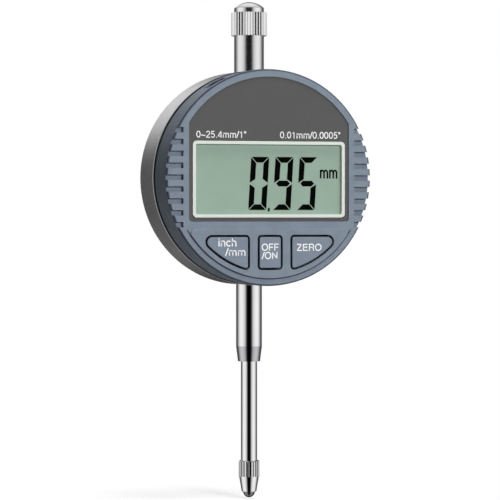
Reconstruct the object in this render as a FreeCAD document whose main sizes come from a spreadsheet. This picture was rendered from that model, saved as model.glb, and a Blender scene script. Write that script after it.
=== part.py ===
"""Digital indicator, 0 to 25.4 mm, as a parametric document.

Millimetres. X is to the right, Y goes into the case from its face, Z is up along the spindle. The origin
is on the spindle's axis, halfway along the 8 mm stem, where a stand clamps it. Every piece is drawn in the
case's own frame, whose origin is where the case's axis crosses the spindle's, and its Placement lifts it by
case_height.
"""

import FreeCAD
import Part
import Sketcher

import math
import os
import re

# Driving sizes: alias, millimetres, meaning. A "front" is a distance forward from the spindle's axis, a
# "back" one behind it, and a height is counted from the case's axis unless its meaning says otherwise.
SIZES = [
    # Case
    ("face_front", 18.6, "front face of the bezel"),
    ("body_radius", 32.78, "outside of the rear body, which sets the case's size"),
    ("rim_step", 0.1, "edge of the bezel's face inside the rear body's outside"),
    ("tier_depth", 1.5, "front tier of the bezel, which widens to the rear body's outside"),
    ("rim_round", 0.4, "rounded edge of the bezel's face"),
    ("wall_step", 0.28, "bezel behind the tier inside the rear body's outside"),
    ("edge_break", 0.2, "small chamfer on moulded and turned edges"),
    ("plate_thick", 2.5, "bezel's front plate"),
    ("case_wall", 2.5, "wall of the case"),
    ("seam_front", 6.3, "back edge of the bezel"),
    ("gasket_thick", 0.85, "gasket between the case halves"),
    ("gasket_step", 0.1, "gasket inside the rear body's outside"),
    ("boss_room", 0.6, "back cover behind the bosses of the stem and the guard tube"),
    ("cover_thick", 1.6, "back cover"),
    ("cover_edge", 1.7, "wall of the rear body round the back cover"),
    ("seat_gap", 0.1, "clearance round a part that drops into a seat"),
    ("ledge_wide", 2.4, "ledge under the back cover"),
    ("ledge_thick", 1.6, "ledge under the back cover"),
    # Grips
    ("grip_long", 5.4, "grip pockets, from the case's side inwards"),
    ("grip_high", 1.6, "height of each grip pocket"),
    ("grip_pitch", 3.55, "distance from one grip pocket to the next"),
    ("grip_count", 9, "grip pockets on each side"),
    ("grip_floor", 2.4, "wall left under the grip pockets"),
    # Face panel and display
    ("panel_inset", 2.45, "upper edge of the face panel from the case's outside"),
    ("panel_margin", 1.85, "sides of the face panel from the grip pockets"),
    ("panel_skirt", 1.1, "face panel below the display frame"),
    ("panel_thick", 1.0, "face panel"),
    ("panel_sink", 0.3, "how far the panel lies below the bezel's face"),
    ("panel_corner", 1.0, "lower corners of the face panel"),
    ("frame_margin", 1.15, "sides of the display frame from the panel's sides"),
    ("frame_top", 10.95, "top of the display frame"),
    ("frame_foot", 12.05, "bottom of the display frame below the case axis"),
    ("frame_rim", 0.95, "width of the display frame's border"),
    ("frame_proud", 0.2, "how far the display frame stands above the panel"),
    ("frame_corner", 1.2, "outer corners of the display frame"),
    ("frame_inner_corner", 0.5, "inner corners of the display frame"),
    ("frame_wall", 0.6, "wall of the display frame round the glass"),
    ("frame_lip", 1.3, "depth of the display frame's lip over the glass"),
    ("frame_flange", 0.6, "how far the frame's flange reaches past its wall"),
    ("glass_thick", 2.0, "display glass with its polarisers"),
    ("holder_wall", 1.4, "wall of the display holder"),
    ("zebra_wide", 1.6, "elastomer contact strips, across"),
    ("zebra_inset", 0.2, "contact strips from the holder's wall"),
    # Button field
    ("field_inset", 2.2, "lower edge of the raised button field from the case's outside"),
    ("field_step", 2.25, "upper edge of the button field below the face panel"),
    ("field_rise", 0.5, "how far the button field stands above the face"),
    ("field_corner", 1.5, "upper corners of the button field"),
    ("field_soften", 0.25, "rounded edge of the button field"),
    ("button_step", 2.45, "upper edge of the buttons below the top of their field"),
    ("button_inset", 2.15, "lower edge of the side buttons from the edge of their field"),
    ("mid_inset", 1.1, "lower edge of the middle button from the arc of the side ones"),
    ("button_mid_half", 3.45, "half the width of the middle button"),
    ("button_side_inner", 7.05, "inner edge of the side buttons"),
    ("button_gap", 0.58, "gap between a button and its window"),
    ("button_corner", 0.7, "corners of the buttons"),
    ("button_lobe", 1.6, "outer corner of the side buttons"),
    ("button_proud", 0.1, "how far a button stands above the field"),
    ("button_soften", 0.3, "rounded edge of a button's top"),
    ("button_free", 0.2, "play of a button's flange behind the plate"),
    ("button_flange", 0.8, "thickness of a button's flange"),
    ("button_lap", 0.95, "how far a button's flange reaches past it"),
    ("button_travel", 0.4, "travel of a button"),
    ("plunger_radius", 1.5, "peg behind a button"),
    ("plunger_spare", 0.1, "gap left to the keypad when a button is pressed"),
    ("keypad_thick", 0.8, "base of the rubber keypad"),
    ("keypad_room", 0.4, "sides of the keypad from the screw posts"),
    ("keypad_inset", 0.9, "lower edge of the keypad from the arc of the side buttons"),
    ("keypad_over", 1.4, "upper edge of the keypad above the buttons"),
    ("dome_radius", 2.2, "keypad domes"),
    ("dome_high", 2.0, "keypad domes"),
    ("key_place", 12.4, "side domes and pegs from the middle"),
    ("key_rise", 0.5, "domes and pegs above the middle of the buttons"),
    # Board and case screws
    ("board_front", 9.2, "front of the main board"),
    ("board_thick", 1.6, "main board"),
    ("board_room", 0.7, "main board inside the case wall"),
    ("post_radius", 2.7, "screw posts of the bezel"),
    ("pillar_radius", 2.3, "screw pillars of the rear body"),
    ("screw_inset", 2.45, "circle of the case screws inside the case wall"),
    ("upper_screw_angle", 42.85, "upper case screws round from the level, in degrees"),
    ("post_room", 0.2, "posts of the lower case screws below the display frame's flange"),
    ("screw_radius", 1.0, "case screws"),
    ("screw_grip", 5.0, "how far a case screw goes into its post"),
    ("screw_room", 0.2, "clearance round a screw's shank and head"),
    ("head_radius", 1.9, "heads of the case screws"),
    ("head_thick", 1.2, "heads of the case screws"),
    ("chip_side", 8.0, "controller chip"),
    ("chip_thick", 1.2, "controller chip"),
    ("chip_height", 20.0, "middle of the controller chip"),
    # Data port
    ("notch_deep", 5.75, "port notch, from the case's outside"),
    ("notch_end", 11.8, "right-hand end of the port notch, left of the middle"),
    ("notch_set_back", 4.1, "front wall of the port notch behind the bezel's face"),
    ("notch_web", 0.3, "bezel left between the port notch and the board"),
    ("port_margin", 0.5, "notch floor left round the port block"),
    ("port_wide", 5.2, "port block, left to right"),
    ("port_high", 5.5, "port block below the notch's floor"),
    ("port_wall", 1.2, "bezel material round the port block"),
    # Stem
    ("stem_radius", 4.0, "clamping cylinder of the stem"),
    ("stem_grip", 19.4, "length of the clamping cylinder"),
    ("stem_taper", 4.7, "length of the stem's tapered end"),
    ("stem_tip_radius", 3.42, "end of the stem"),
    ("stem_bore", 3.2, "bore of the stem, radius"),
    ("shoulder_radius", 4.6, "shoulder of the stem inside the case"),
    ("spot_deep", 0.6, "flat under the case, from its outside"),
    ("boss_radius", 5.4, "bosses for the stem and the guard tube"),
    ("lower_boss", 5.0, "stem boss above the flat"),
    ("bush_long", 8.0, "stem bushes"),
    ("bush_set_back", 1.2, "lower bush from the start of the taper"),
    ("running_gap", 0.05, "spindle in its bushes, radial"),
    ("passing_gap", 0.1, "spindle in the stem's mouth, radial"),
    # Guard tube and cap
    ("guard_radius", 4.6, "guard tube"),
    ("guard_bore", 3.2, "bore of the guard tube, radius"),
    ("guard_long", 10.9, "guard tube's plain part above the case"),
    ("guard_bite", 8.1, "guard tube inside the case"),
    ("neck_radius", 3.9, "threaded neck that takes the cap"),
    ("neck_long", 5.5, "threaded neck"),
    ("top_boss_long", 14.6, "top boss, from the case's outside down"),
    ("top_bush_radius", 3.6, "outside of the top bush"),
    ("cap_radius", 5.52, "knurled band of the cap"),
    ("cap_band", 7.2, "knurled band of the cap"),
    ("cap_crown_radius", 4.6, "cap above its band"),
    ("cap_crown", 1.4, "cylinder above the band"),
    ("cap_dome", 1.8, "height of the cap's dome"),
    ("cap_soften", 0.3, "rounded edge round the cap's dome"),
    ("cap_roof", 1.2, "wall at the top of the cap"),
    ("cap_gap", 0.1, "cap round the neck, radial"),
    ("cap_flutes", 36, "flutes of the cap"),
    ("cap_flute_deep", 0.24, "flutes of the cap"),
    ("cap_flute_wide", 0.9, "flutes of the cap"),
    # Spindle and point
    ("spindle_radius", 2.5, "spindle"),
    ("spindle_reach", 30.6, "spindle showing below the stem"),
    ("spindle_spare", 1.4, "spindle's top from the cap's roof when it is all the way up"),
    ("travel", 25.4, "measuring range"),
    ("knurl_radius", 3.24, "knurled part of the contact point"),
    ("knurl_long", 4.85, "knurled part of the contact point"),
    ("knurl_flutes", 26, "flutes of the contact point"),
    ("knurl_flute_deep", 0.22, "flutes of the contact point"),
    ("knurl_flute_wide", 0.5, "flutes of the contact point"),
    ("knurl_taper", 0.17, "step from the knurl to the cone"),
    ("cone_long", 4.6, "cone of the contact point"),
    ("cone_tip_step", 0.31, "lower end of the cone outside the crimped edge"),
    ("crimp_wall", 0.16, "edge that holds the ball, outside the ball"),
    ("crimp_high", 0.15, "edge that holds the ball"),
    ("ball_radius", 1.83, "ball of the contact point"),
    ("ball_rise", 0.07, "ball's centre above the crimped edge"),
    ("stud_radius", 1.25, "threaded stud of the contact point"),
    ("stud_long", 5.0, "threaded stud of the contact point"),
    ("stud_room", 0.5, "free depth above the stud"),
    # Carrier, scale and guide
    ("washer_thick", 1.0, "rubber washer on the stem's upper end"),
    ("washer_room", 0.1, "rubber washer from the guide rail"),
    ("washer_gap", 0.3, "washer round the spindle"),
    ("carrier_half", 4.5, "half the width of the carrier"),
    ("carrier_high", 7.0, "carrier along the spindle"),
    ("carrier_back", 3.8, "back face of the carrier"),
    ("scale_gap", 0.3, "air between the slider plate and the board"),
    ("scale_thick", 1.0, "slider plate"),
    ("scale_half", 8.0, "half the width of the slider plate"),
    ("scale_long", 18.0, "slider plate along the spindle"),
    ("scale_drop", 0.4, "slider plate below the carrier's underside"),
    ("clamp_radius", 0.9, "carrier screw"),
    ("clamp_front", 4.4, "axis of the carrier screw"),
    ("clamp_head", 1.6, "head of the carrier screw, radius"),
    ("clamp_head_long", 1.1, "head of the carrier screw"),
    ("pin_radius", 1.0, "guide pin"),
    ("pin_set_back", 0.1, "guide pin's inner end from the spindle"),
    ("pin_rise", 3.5, "guide pin above the carrier's underside"),
    ("pin_short", 0.3, "guide pin's end from the back cover"),
    ("slot_gap", 0.05, "guide pin in its slot, each side"),
    ("slot_spare", 1.2, "slot beyond the pin's travel at each end"),
    ("rail_gap", 0.2, "air between the carrier and the guide rail"),
    ("rail_half", 4.0, "half the width of the guide rail"),
    ("rail_end", 3.1, "rail beyond each end of its slot"),
    ("rail_screw_radius", 0.8, "guide rail screws"),
    ("rail_head_radius", 1.3, "heads of the guide rail screws"),
    ("rail_head_thick", 0.9, "heads of the guide rail screws"),
    ("rail_screw_bite", 1.1, "guide rail screws in the back cover"),
    # Return spring
    ("spring_gap", 0.42, "spring's wire from the spindle"),
    ("wire_radius", 0.28, "spring wire"),
    ("spring_turns", 10, "turns of the return spring"),
    # Battery
    ("battery_inset", 3.6, "battery cover from the ledge under the back cover"),
    ("battery_radius", 5.8, "button cell"),
    ("battery_thick", 5.4, "button cell"),
    ("battery_free", 0.2, "cell from its cover"),
    ("battery_gap", 0.15, "cell in its holder, radial"),
    ("holder_radius", 8.2, "outside of the battery holder"),
    ("holder_floor", 0.8, "floor of the battery holder"),
    ("holder_spare", 0.6, "cell from the holder's floor"),
    ("contact_radius", 2.2, "centre contact"),
    ("contact_post", 1.0, "post of the centre contact"),
    ("contact_hole", 2.5, "hole in the holder's floor"),
    ("strip_wide", 2.4, "side contact strip"),
    ("strip_thick", 0.4, "side contact strip"),
    ("strip_up", 4.0, "side contact strip behind the spindle's axis"),
    ("lid_radius", 8.0, "battery cover"),
    ("lid_plug_radius", 7.0, "plug of the battery cover"),
    ("lid_step", 0.8, "head of the battery cover"),
    ("coin_slot_long", 10.0, "coin slot of the battery cover"),
    ("coin_slot_wide", 1.6, "coin slot of the battery cover"),
    ("coin_slot_deep", 0.6, "coin slot of the battery cover"),
    # Lug
    ("lug_thick", 5.0, "lug on the back cover"),
    ("lug_radius", 7.5, "rounded end of the lug"),
    ("lug_reach", 8.5, "lug hole behind the case"),
    ("lug_hole", 3.25, "lug hole, radius"),
    ("lug_root", 1.2, "fillet at the foot of the lug"),
]

# Places worked out from the sizes, each once.
PLACES = {
    "rim_radius": "body_radius - rim_step",
    "wall_radius": "body_radius - wall_step",
    "cavity_radius": "body_radius - case_wall",
    "cover_radius": "body_radius - cover_edge",
    "ledge_radius": "cover_radius + seat_gap - ledge_wide",
    "back_depth": "boss_radius + boss_room + cover_thick",
    "spot_drop": "body_radius - spot_deep",
    "case_height": "spot_drop + stem_grip / 2",
    "plate_back": "face_front - plate_thick",
    "panel_back": "face_front - panel_sink - panel_thick",
    "panel_arc": "body_radius - panel_inset",
    "grip_inner": "body_radius - grip_long",
    "panel_half": "grip_inner - panel_margin",
    "panel_foot": "frame_foot + panel_skirt",
    "frame_half": "panel_half - frame_margin",
    "frame_front": "face_front - panel_sink + frame_proud",
    "glass_front": "frame_front - frame_lip",
    "glass_back": "glass_front - glass_thick",
    "window_half": "frame_half - frame_rim",
    "window_top": "frame_top - frame_rim",
    "window_foot": "frame_foot - frame_rim",
    "seat_half": "frame_half - frame_wall",
    "seat_top": "frame_top - frame_wall",
    "seat_foot": "frame_foot - frame_wall",
    "field_front": "face_front + field_rise",
    "field_radius": "body_radius - field_inset",
    "field_top": "panel_foot + field_step",
    "button_top": "field_top + button_step",
    "button_arc": "field_radius - button_inset",
    "button_foot": "button_arc - mid_inset",
    "button_front": "field_front + button_proud",
    "flange_front": "plate_back - button_free",
    "flange_back": "flange_front - button_flange",
    "dome_front": "board_front + keypad_thick + dome_high",
    "plunger_tip": "dome_front + button_travel + plunger_spare",
    "keypad_radius": "button_arc - keypad_inset",
    "keypad_half": "lower_screw_x - post_radius - keypad_room",
    "keypad_top": "button_top - keypad_over",
    "key_drop": "(button_top + button_foot) / 2 - key_rise",
    "board_back": "board_front - board_thick",
    "board_radius": "cavity_radius - board_room",
    "screw_ring": "cavity_radius - screw_inset",
    "upper_screw_x": "screw_ring * cos(upper_screw_angle)",
    "upper_screw_z": "screw_ring * sin(upper_screw_angle)",
    "lower_screw_z": "frame_foot + frame_flange + post_room + post_radius",
    "lower_screw_x": "sqrt(screw_ring ^ 2 - lower_screw_z ^ 2)",
    "body_front": "seam_front - gasket_thick",
    "cover_inner": "back_depth - cover_thick",
    "notch_floor": "body_radius - notch_deep",
    "notch_front": "face_front - notch_set_back",
    "notch_long": "notch_front - board_front - notch_web",
    "port_front": "notch_front - port_margin",
    "port_foot": "notch_floor - port_high",
    "port_right": "notch_end + port_margin",
    "port_left": "port_right + port_wide",
    "stem_top": "lower_boss - spot_drop",
    "stem_mouth": "-spot_drop - stem_grip - stem_taper",
    "bore_step": "-spot_drop - stem_grip + bush_set_back",
    "spindle_foot": "stem_mouth - spindle_reach",
    "knurl_foot": "spindle_foot - knurl_long",
    "cone_foot": "knurl_foot - cone_long",
    "crimp_radius": "ball_radius + crimp_wall",
    "cone_tip_radius": "crimp_radius + cone_tip_step",
    "ball_middle": "cone_foot - crimp_high + ball_rise",
    "guard_shoulder": "body_radius + guard_long",
    "guard_seat": "body_radius - guard_bite",
    "top_boss": "body_radius - top_boss_long",
    "neck_top": "guard_shoulder + neck_long",
    "band_top": "guard_shoulder + cap_band",
    "crown_top": "band_top + cap_crown",
    "cap_top": "crown_top + cap_dome",
    "dome_curve": "(cap_crown_radius ^ 2 + cap_dome ^ 2) / (2 * cap_dome)",
    "spindle_top": "cap_top - cap_roof - spindle_spare - travel",
    "carrier_foot": "stem_top + washer_thick",
    "carrier_top": "carrier_foot + carrier_high",
    "scale_front": "board_back - scale_gap",
    "scale_back": "scale_front - scale_thick",
    "rail_front": "carrier_back + rail_gap",
    "washer_radius": "rail_front - washer_room",
    "pin_root": "spindle_radius + pin_set_back",
    "pin_height": "carrier_foot + pin_rise",
    "pin_end": "cover_inner - pin_short",
    "slot_foot": "pin_height - slot_spare",
    "slot_top": "pin_height + travel + slot_spare",
    "rail_foot": "slot_foot - rail_end",
    "rail_top": "slot_top + rail_end",
    "spring_radius": "spindle_radius + spring_gap + wire_radius",
    "battery_place": "ledge_radius - lid_radius - battery_inset",
    "battery_back": "cover_inner - battery_free",
    "battery_front": "battery_back - battery_thick",
    "holder_front": "battery_front - holder_spare - holder_floor",
    "lug_eye": "back_depth + lug_reach",
}

doc = FreeCAD.newDocument("digital_indicator")
sheet = doc.addObject("Spreadsheet::Sheet", "sizes")
for row, (alias, number, meaning) in enumerate(SIZES, 1):
    sheet.set(f"A{row}", alias)
    sheet.set(f"B{row}", str(number))
    sheet.set(f"C{row}", meaning)
    sheet.setAlias(f"B{row}", alias)
doc.recompute()

ALIASES = {alias for alias, _, _ in SIZES}
UP = FreeCAD.Vector(0, 0, 1)


def formula(text):
    """The expression that the document reads, for one written in aliases and places."""

    def spell(word):
        name = word.group()
        if name in PLACES:
            return f"({formula(PLACES[name])})"
        return f"sizes.{name}" if name in ALIASES else name

    return re.sub(r"[a-z_]+", spell, str(text))


def value(text):
    """The number that an expression comes to."""
    result = sheet.evalExpression(formula(text))
    return float(getattr(result, "Value", result))


def new_body(label):
    """An empty body that stands at the case's height."""
    body = doc.addObject("PartDesign::Body", label)
    body.Label = label
    body.AllowCompound = True
    body.setExpression("Placement.Base.z", formula("case_height"))
    return body


def origin_feature(body, role):
    """One of the planes or axes that the body's origin holds."""
    return next(feature for feature in body.Origin.OriginFeatures if feature.Role == role)


def new_sketch(body, role, offset):
    """A sketch on one of the body's own planes: XZ faces forward, YZ to the right and XY up."""
    sketch = body.newObject("Sketcher::SketchObject", f"{body.Name}_sketch")
    sketch.AttachmentSupport = (origin_feature(body, role), [""])
    sketch.MapMode = "FlatFace"
    sketch.setExpression("AttachmentOffset.Base.z", formula(offset))
    return sketch


def hold(sketch, kind, places, text):
    """One dimension of a sketch, bound to an expression."""
    index = sketch.addConstraint(Sketcher.Constraint(kind, *places, value(text)))
    sketch.setExpression(f"Constraints[{index}]", formula(text))


def circle(sketch, x, z, radius):
    centre = FreeCAD.Vector(value(x), value(z), 0)
    index = sketch.addGeometry(Part.Circle(centre, UP, value(radius)))
    hold(sketch, "DistanceX", (-1, 1, index, 3), x)
    hold(sketch, "DistanceY", (-1, 1, index, 3), z)
    hold(sketch, "Radius", (index,), radius)


def outline(sketch, corners):
    """A closed outline. A corner is (x, z), or (x, z, cx, cz) where an arc about (cx, cz) leads on."""
    places = [FreeCAD.Vector(value(corner[0]), value(corner[1]), 0) for corner in corners]
    sides = []
    for corner, start, end in zip(corners, places, places[1:] + places[:1]):
        if len(corner) == 2:
            sides.append((sketch.addGeometry(Part.LineSegment(start, end)), 1, 2))
            continue
        centre = FreeCAD.Vector(value(corner[2]), value(corner[3]), 0)
        forward = (start - centre).cross(end - centre).z > 0
        first, last = (start - centre, end - centre) if forward else (end - centre, start - centre)
        round_line = Part.Circle(centre, UP, first.Length)
        arc = Part.ArcOfCircle(round_line, math.atan2(first.y, first.x), math.atan2(last.y, last.x))
        side = sketch.addGeometry(arc)
        chord = end - start
        if abs(chord.x) > abs(chord.y):
            hold(sketch, "DistanceY", (-1, 1, side, 3), corner[3])
        else:
            hold(sketch, "DistanceX", (-1, 1, side, 3), corner[2])
        sides.append((side, 1, 2) if forward else (side, 2, 1))
    for (side, _, tail), (after, head, _) in zip(sides, sides[1:] + sides[:1]):
        sketch.addConstraint(Sketcher.Constraint("Coincident", side, tail, after, head))
    for corner, (side, head, _) in zip(corners, sides):
        hold(sketch, "DistanceX", (-1, 1, side, head), corner[0])
        hold(sketch, "DistanceY", (-1, 1, side, head), corner[1])


def rectangle(sketch, left, right, foot, top):
    outline(sketch, [(left, foot), (right, foot), (right, top), (left, top)])


# What a sketch holds, for the operations below.
def disc(x, z, radius):
    return lambda sketch: circle(sketch, x, z, radius)


def block(left, right, foot, top):
    return lambda sketch: rectangle(sketch, left, right, foot, top)


def closed(corners):
    return lambda sketch: outline(sketch, corners)


def feature(body, kind, sketch, length, backward=False, both_ways=False):
    """A Pad or a Pocket of a sketch: a pad goes out of its plane and a pocket into it, unless backward."""
    result = body.newObject(f"PartDesign::{kind}", f"{body.Name}_{kind.lower()}")
    result.Profile = (sketch, [""])
    result.setExpression("Length", formula(length))
    result.Reversed = backward
    if both_ways:
        result.SideType = "Symmetric"
    return result


def pad_back(body, front, depth, draw):
    """Material from a plane at front, over depth, towards the back of the case."""
    sketch = new_sketch(body, "XZ_Plane", front)
    draw(sketch)
    return feature(body, "Pad", sketch, depth, backward=True)


def cut_back(body, front, depth, draw):
    """A cut from a plane at front, over depth, towards the back of the case."""
    sketch = new_sketch(body, "XZ_Plane", front)
    draw(sketch)
    return feature(body, "Pocket", sketch, depth)


def turn(body, role, axis, corners):
    """A revolved profile: about V_Axis of the XZ plane for what the spindle's axis carries, and about H_Axis
    of the YZ plane for what is round the case's axis."""
    sketch = new_sketch(body, role, "0")
    outline(sketch, corners)
    result = body.newObject("PartDesign::Revolution", f"{body.Name}_turned")
    result.Profile = (sketch, [""])
    result.ReferenceAxis = (sketch, [axis])
    result.Angle = 360
    return result


def turned_on_spindle(body, corners):
    return turn(body, "XZ_Plane", "V_Axis", corners)


def turned_on_case(body, corners):
    return turn(body, "YZ_Plane", "H_Axis", corners)


def soften(body, base, radius, wanted):
    """A fillet on the edges of base for which wanted(edge) is true."""
    doc.recompute()
    edges = [f"Edge{index}" for index, edge in enumerate(base.Shape.Edges, 1) if wanted(edge)]
    result = body.newObject("PartDesign::Fillet", f"{body.Name}_fillet")
    result.Base = (base, edges)
    result.setExpression("Radius", formula(radius))
    return result


def upright_at(*spots):
    """Picks the straight edges along Y that stand at the spots, each an (x, z) pair of expressions."""
    wanted = [(value(x), value(z)) for x, z in spots]

    def test(edge):
        box = edge.BoundBox
        if box.XLength > 0.01 or box.ZLength > 0.01:
            return False
        return any(math.hypot(box.XMin - x, box.ZMin - z) < 0.01 for x, z in wanted)

    return test


def front_edges(front):
    """Picks the edges that lie in the plane at front."""
    place = -value(front)
    return lambda edge: abs(edge.BoundBox.YMin - place) < 0.01 and edge.BoundBox.YLength < 0.01


def flutes(body, top, length, radius, deep, wide, count):
    """Straight flutes round a turned part, each a vee cut along the spindle's axis."""
    sketch = new_sketch(body, "XY_Plane", top)
    outside = f"{radius} + {deep}"
    outline(sketch, [(f"{radius} - {deep}", "0"), (outside, f"-{wide}"), (outside, wide)])
    vee = feature(body, "Pocket", sketch, length)
    pattern = body.newObject("PartDesign::PolarPattern", f"{body.Name}_flutes")
    pattern.Originals = [vee]
    pattern.Axis = (origin_feature(body, "Z_Axis"), [""])
    pattern.Angle = 360
    pattern.setExpression("Occurrences", formula(count))
    body.Tip = pattern
    return pattern


def panel_outline(grow):
    """The face panel's outline, larger all round by grow."""
    half = f"(panel_half + {grow})"
    arc = f"(panel_arc + {grow})"
    shoulder = f"sqrt({arc} ^ 2 - {half} ^ 2)"
    foot = f"-panel_foot - {grow}"
    return [(f"-{half}", foot), (half, foot), (half, shoulder, "0", "0"), (f"-{half}", shoulder)]


def side_button_outline(side, grow):
    """A side button's outline with its round outer lobe: side is 1 on the right and -1 on the left."""
    inner = f"(button_side_inner - {grow})"
    arc = f"(button_arc + {grow})"
    top = f"(button_top - {grow})"
    foot = f"sqrt({arc} ^ 2 - {inner} ^ 2)"
    lobe_z = "-(button_top + button_lobe)"
    lobe_x = f"{side} * sqrt((button_arc - button_lobe) ^ 2 - (button_top + button_lobe) ^ 2)"
    stretch = f"({arc} / (button_arc - button_lobe))"
    return [
        (f"{side} * {inner}", f"-{foot}", "0", "0"),
        (f"{lobe_x} * {stretch}", f"{lobe_z} * {stretch}", lobe_x, lobe_z),
        (lobe_x, f"-{top}"),
        (f"{side} * {inner}", f"-{top}"),
    ]


def middle_button(sketch, grow):
    half = f"(button_mid_half + {grow})"
    rectangle(sketch, f"-{half}", half, f"-button_foot - {grow}", f"-button_top + {grow}")


def screw_places():
    for side in ("-", ""):
        yield f"{side}upper_screw_x", "upper_screw_z"
        yield f"{side}lower_screw_x", "-lower_screw_z"


def at_screws(radius):
    def draw(sketch):
        for x, z in screw_places():
            circle(sketch, x, z, radius)

    return draw


def front_bezel():
    body = new_body("front_bezel")
    round_middle = "-face_front + rim_round"
    turned_on_case(
        body,
        [
            ("-face_front", "0"),
            ("-face_front", "rim_radius - rim_round", round_middle, "rim_radius - rim_round"),
            (round_middle, "rim_radius"),
            ("-face_front + tier_depth", "body_radius"),
            ("-face_front + tier_depth", "wall_radius"),
            ("-seam_front", "wall_radius"),
            ("-seam_front", "cavity_radius"),
            ("-plate_back", "cavity_radius"),
            ("-plate_back", "0"),
        ],
    )
    grip_half = "grip_pitch * (grip_count + 1) / 2"
    grip_side = "panel_half + 1"
    grip_back = "face_front - tier_depth - grip_floor"

    def grip_blocks(sketch):
        reach = f"sqrt((cavity_radius + 0.5) ^ 2 - ({grip_half}) ^ 2)"
        for side in (-1, 1):
            inner = f"{side} * ({grip_side})"
            outline(
                sketch,
                [
                    (f"{side} * {reach}", f"{side} * -({grip_half})", "0", "0"),
                    (f"{side} * {reach}", f"{side} * {grip_half}"),
                    (inner, f"{side} * {grip_half}"),
                    (inner, f"{side} * -({grip_half})"),
                ],
            )

    pad_back(body, "plate_back", f"plate_back - ({grip_back})", grip_blocks)
    pad_back(body, "plate_back", "plate_back - board_front", at_screws("post_radius"))

    def port_boss(sketch):
        left, right = "(port_left + port_wall)", "(port_right - port_wall)"
        foot = "port_foot + port_wall"
        rim = "(wall_radius - port_wall)"
        outline(
            sketch,
            [
                (f"-{left}", foot),
                (f"-{right}", foot),
                (f"-{right}", f"sqrt({rim} ^ 2 - {right} ^ 2)", "0", "0"),
                (f"-{left}", f"sqrt({rim} ^ 2 - {left} ^ 2)"),
            ],
        )

    pad_back(body, "plate_back", "plate_back - board_front - seat_gap", port_boss)

    field_side = "sqrt(field_radius ^ 2 - field_top ^ 2)"
    field = new_sketch(body, "XZ_Plane", "face_front")
    outline(
        field,
        [
            (f"-{field_side}", "-field_top", "0", "0"),
            ("0", "-field_radius", "0", "0"),
            (field_side, "-field_top"),
        ],
    )
    plateau = feature(body, "Pad", field, "field_rise")
    field_corners = upright_at((f"-{field_side}", "-field_top"), (field_side, "-field_top"))
    rounded = soften(body, plateau, "field_corner", field_corners)
    soften(body, rounded, "field_soften", front_edges("field_front"))

    recess = cut_back(body, "face_front", "face_front - panel_back", closed(panel_outline("seat_gap")))
    feet = [(f"{side}(panel_half + seat_gap)", "-panel_foot - seat_gap") for side in ("-", "")]
    soften(body, recess, "panel_corner", upright_at(*feet))
    cut_back(
        body,
        "face_front",
        "plate_thick",
        block(
            "-frame_half - seat_gap",
            "frame_half + seat_gap",
            "-frame_foot - seat_gap",
            "frame_top + seat_gap",
        ),
    )

    def button_windows(sketch):
        middle_button(sketch, "button_gap")
        for side in (-1, 1):
            outline(sketch, side_button_outline(side, "button_gap"))

    windows = cut_back(body, "field_front", "field_front - plate_back", button_windows)
    soften_buttons(body, windows, "button_gap")

    def first_grips(sketch):
        top = f"({grip_half} - grip_pitch + grip_high / 2)"
        rectangle(sketch, "grip_inner", "body_radius + 1", f"{top} - grip_high", top)
        rectangle(sketch, "-body_radius - 1", "-grip_inner", f"{top} - grip_high", top)

    grips = cut_back(body, "face_front", "tier_depth", first_grips)
    pattern = body.newObject("PartDesign::LinearPattern", "front_bezel_grips")
    pattern.Originals = [grips]
    pattern.Direction = (origin_feature(body, "Z_Axis"), [""])
    pattern.Reversed = True
    pattern.setExpression("Length", formula("grip_pitch * (grip_count - 1)"))
    pattern.setExpression("Occurrences", formula("grip_count"))
    body.Tip = pattern

    cut_back(body, "board_front + screw_grip", "screw_grip", at_screws("screw_radius"))
    cut_back(
        body,
        "port_front + seat_gap",
        "port_front + seat_gap - board_front",
        block(
            "-port_left - seat_gap",
            "-port_right + seat_gap",
            "port_foot - seat_gap",
            "notch_floor + 1",
        ),
    )
    cut_back(
        body,
        "notch_front",
        "notch_long",
        block("-body_radius - 1", "-notch_end", "notch_floor", "body_radius + 1"),
    )
    return body


def soften_buttons(body, base, grow):
    """Rounds the small corners of the buttons, or of their windows where grow is the gap round them."""
    arc, top = f"(button_arc + {grow})", f"(button_top - {grow})"
    inner = f"(button_side_inner - {grow})"
    half = f"(button_mid_half + {grow})"
    corners = [(f"{side}{half}", f"-(button_foot + {grow})") for side in ("-", "")]
    corners += [(f"{side}{half}", f"-{top}") for side in ("-", "")]
    corners += [(f"{side}{inner}", f"-{top}") for side in ("-", "")]
    corners += [(f"{side}{inner}", f"-sqrt({arc} ^ 2 - {inner} ^ 2)") for side in ("-", "")]
    return soften(body, base, f"button_corner + {grow}", upright_at(*corners))


def face_panel():
    body = new_body("face_panel")
    blank = pad_back(body, "panel_back + panel_thick", "panel_thick", closed(panel_outline("0")))
    feet = upright_at(("-panel_half", "-panel_foot"), ("panel_half", "-panel_foot"))
    soften(body, blank, "panel_corner", feet)
    window = cut_back(
        body,
        "face_front",
        "plate_thick",
        block(
            "-frame_half - seat_gap",
            "frame_half + seat_gap",
            "-frame_foot - seat_gap",
            "frame_top + seat_gap",
        ),
    )
    heights = ("-frame_foot - seat_gap", "frame_top + seat_gap")
    corners = [(f"{side}(frame_half + seat_gap)", z) for side in ("-", "") for z in heights]
    soften(body, window, "frame_corner", upright_at(*corners))
    return body


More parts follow.
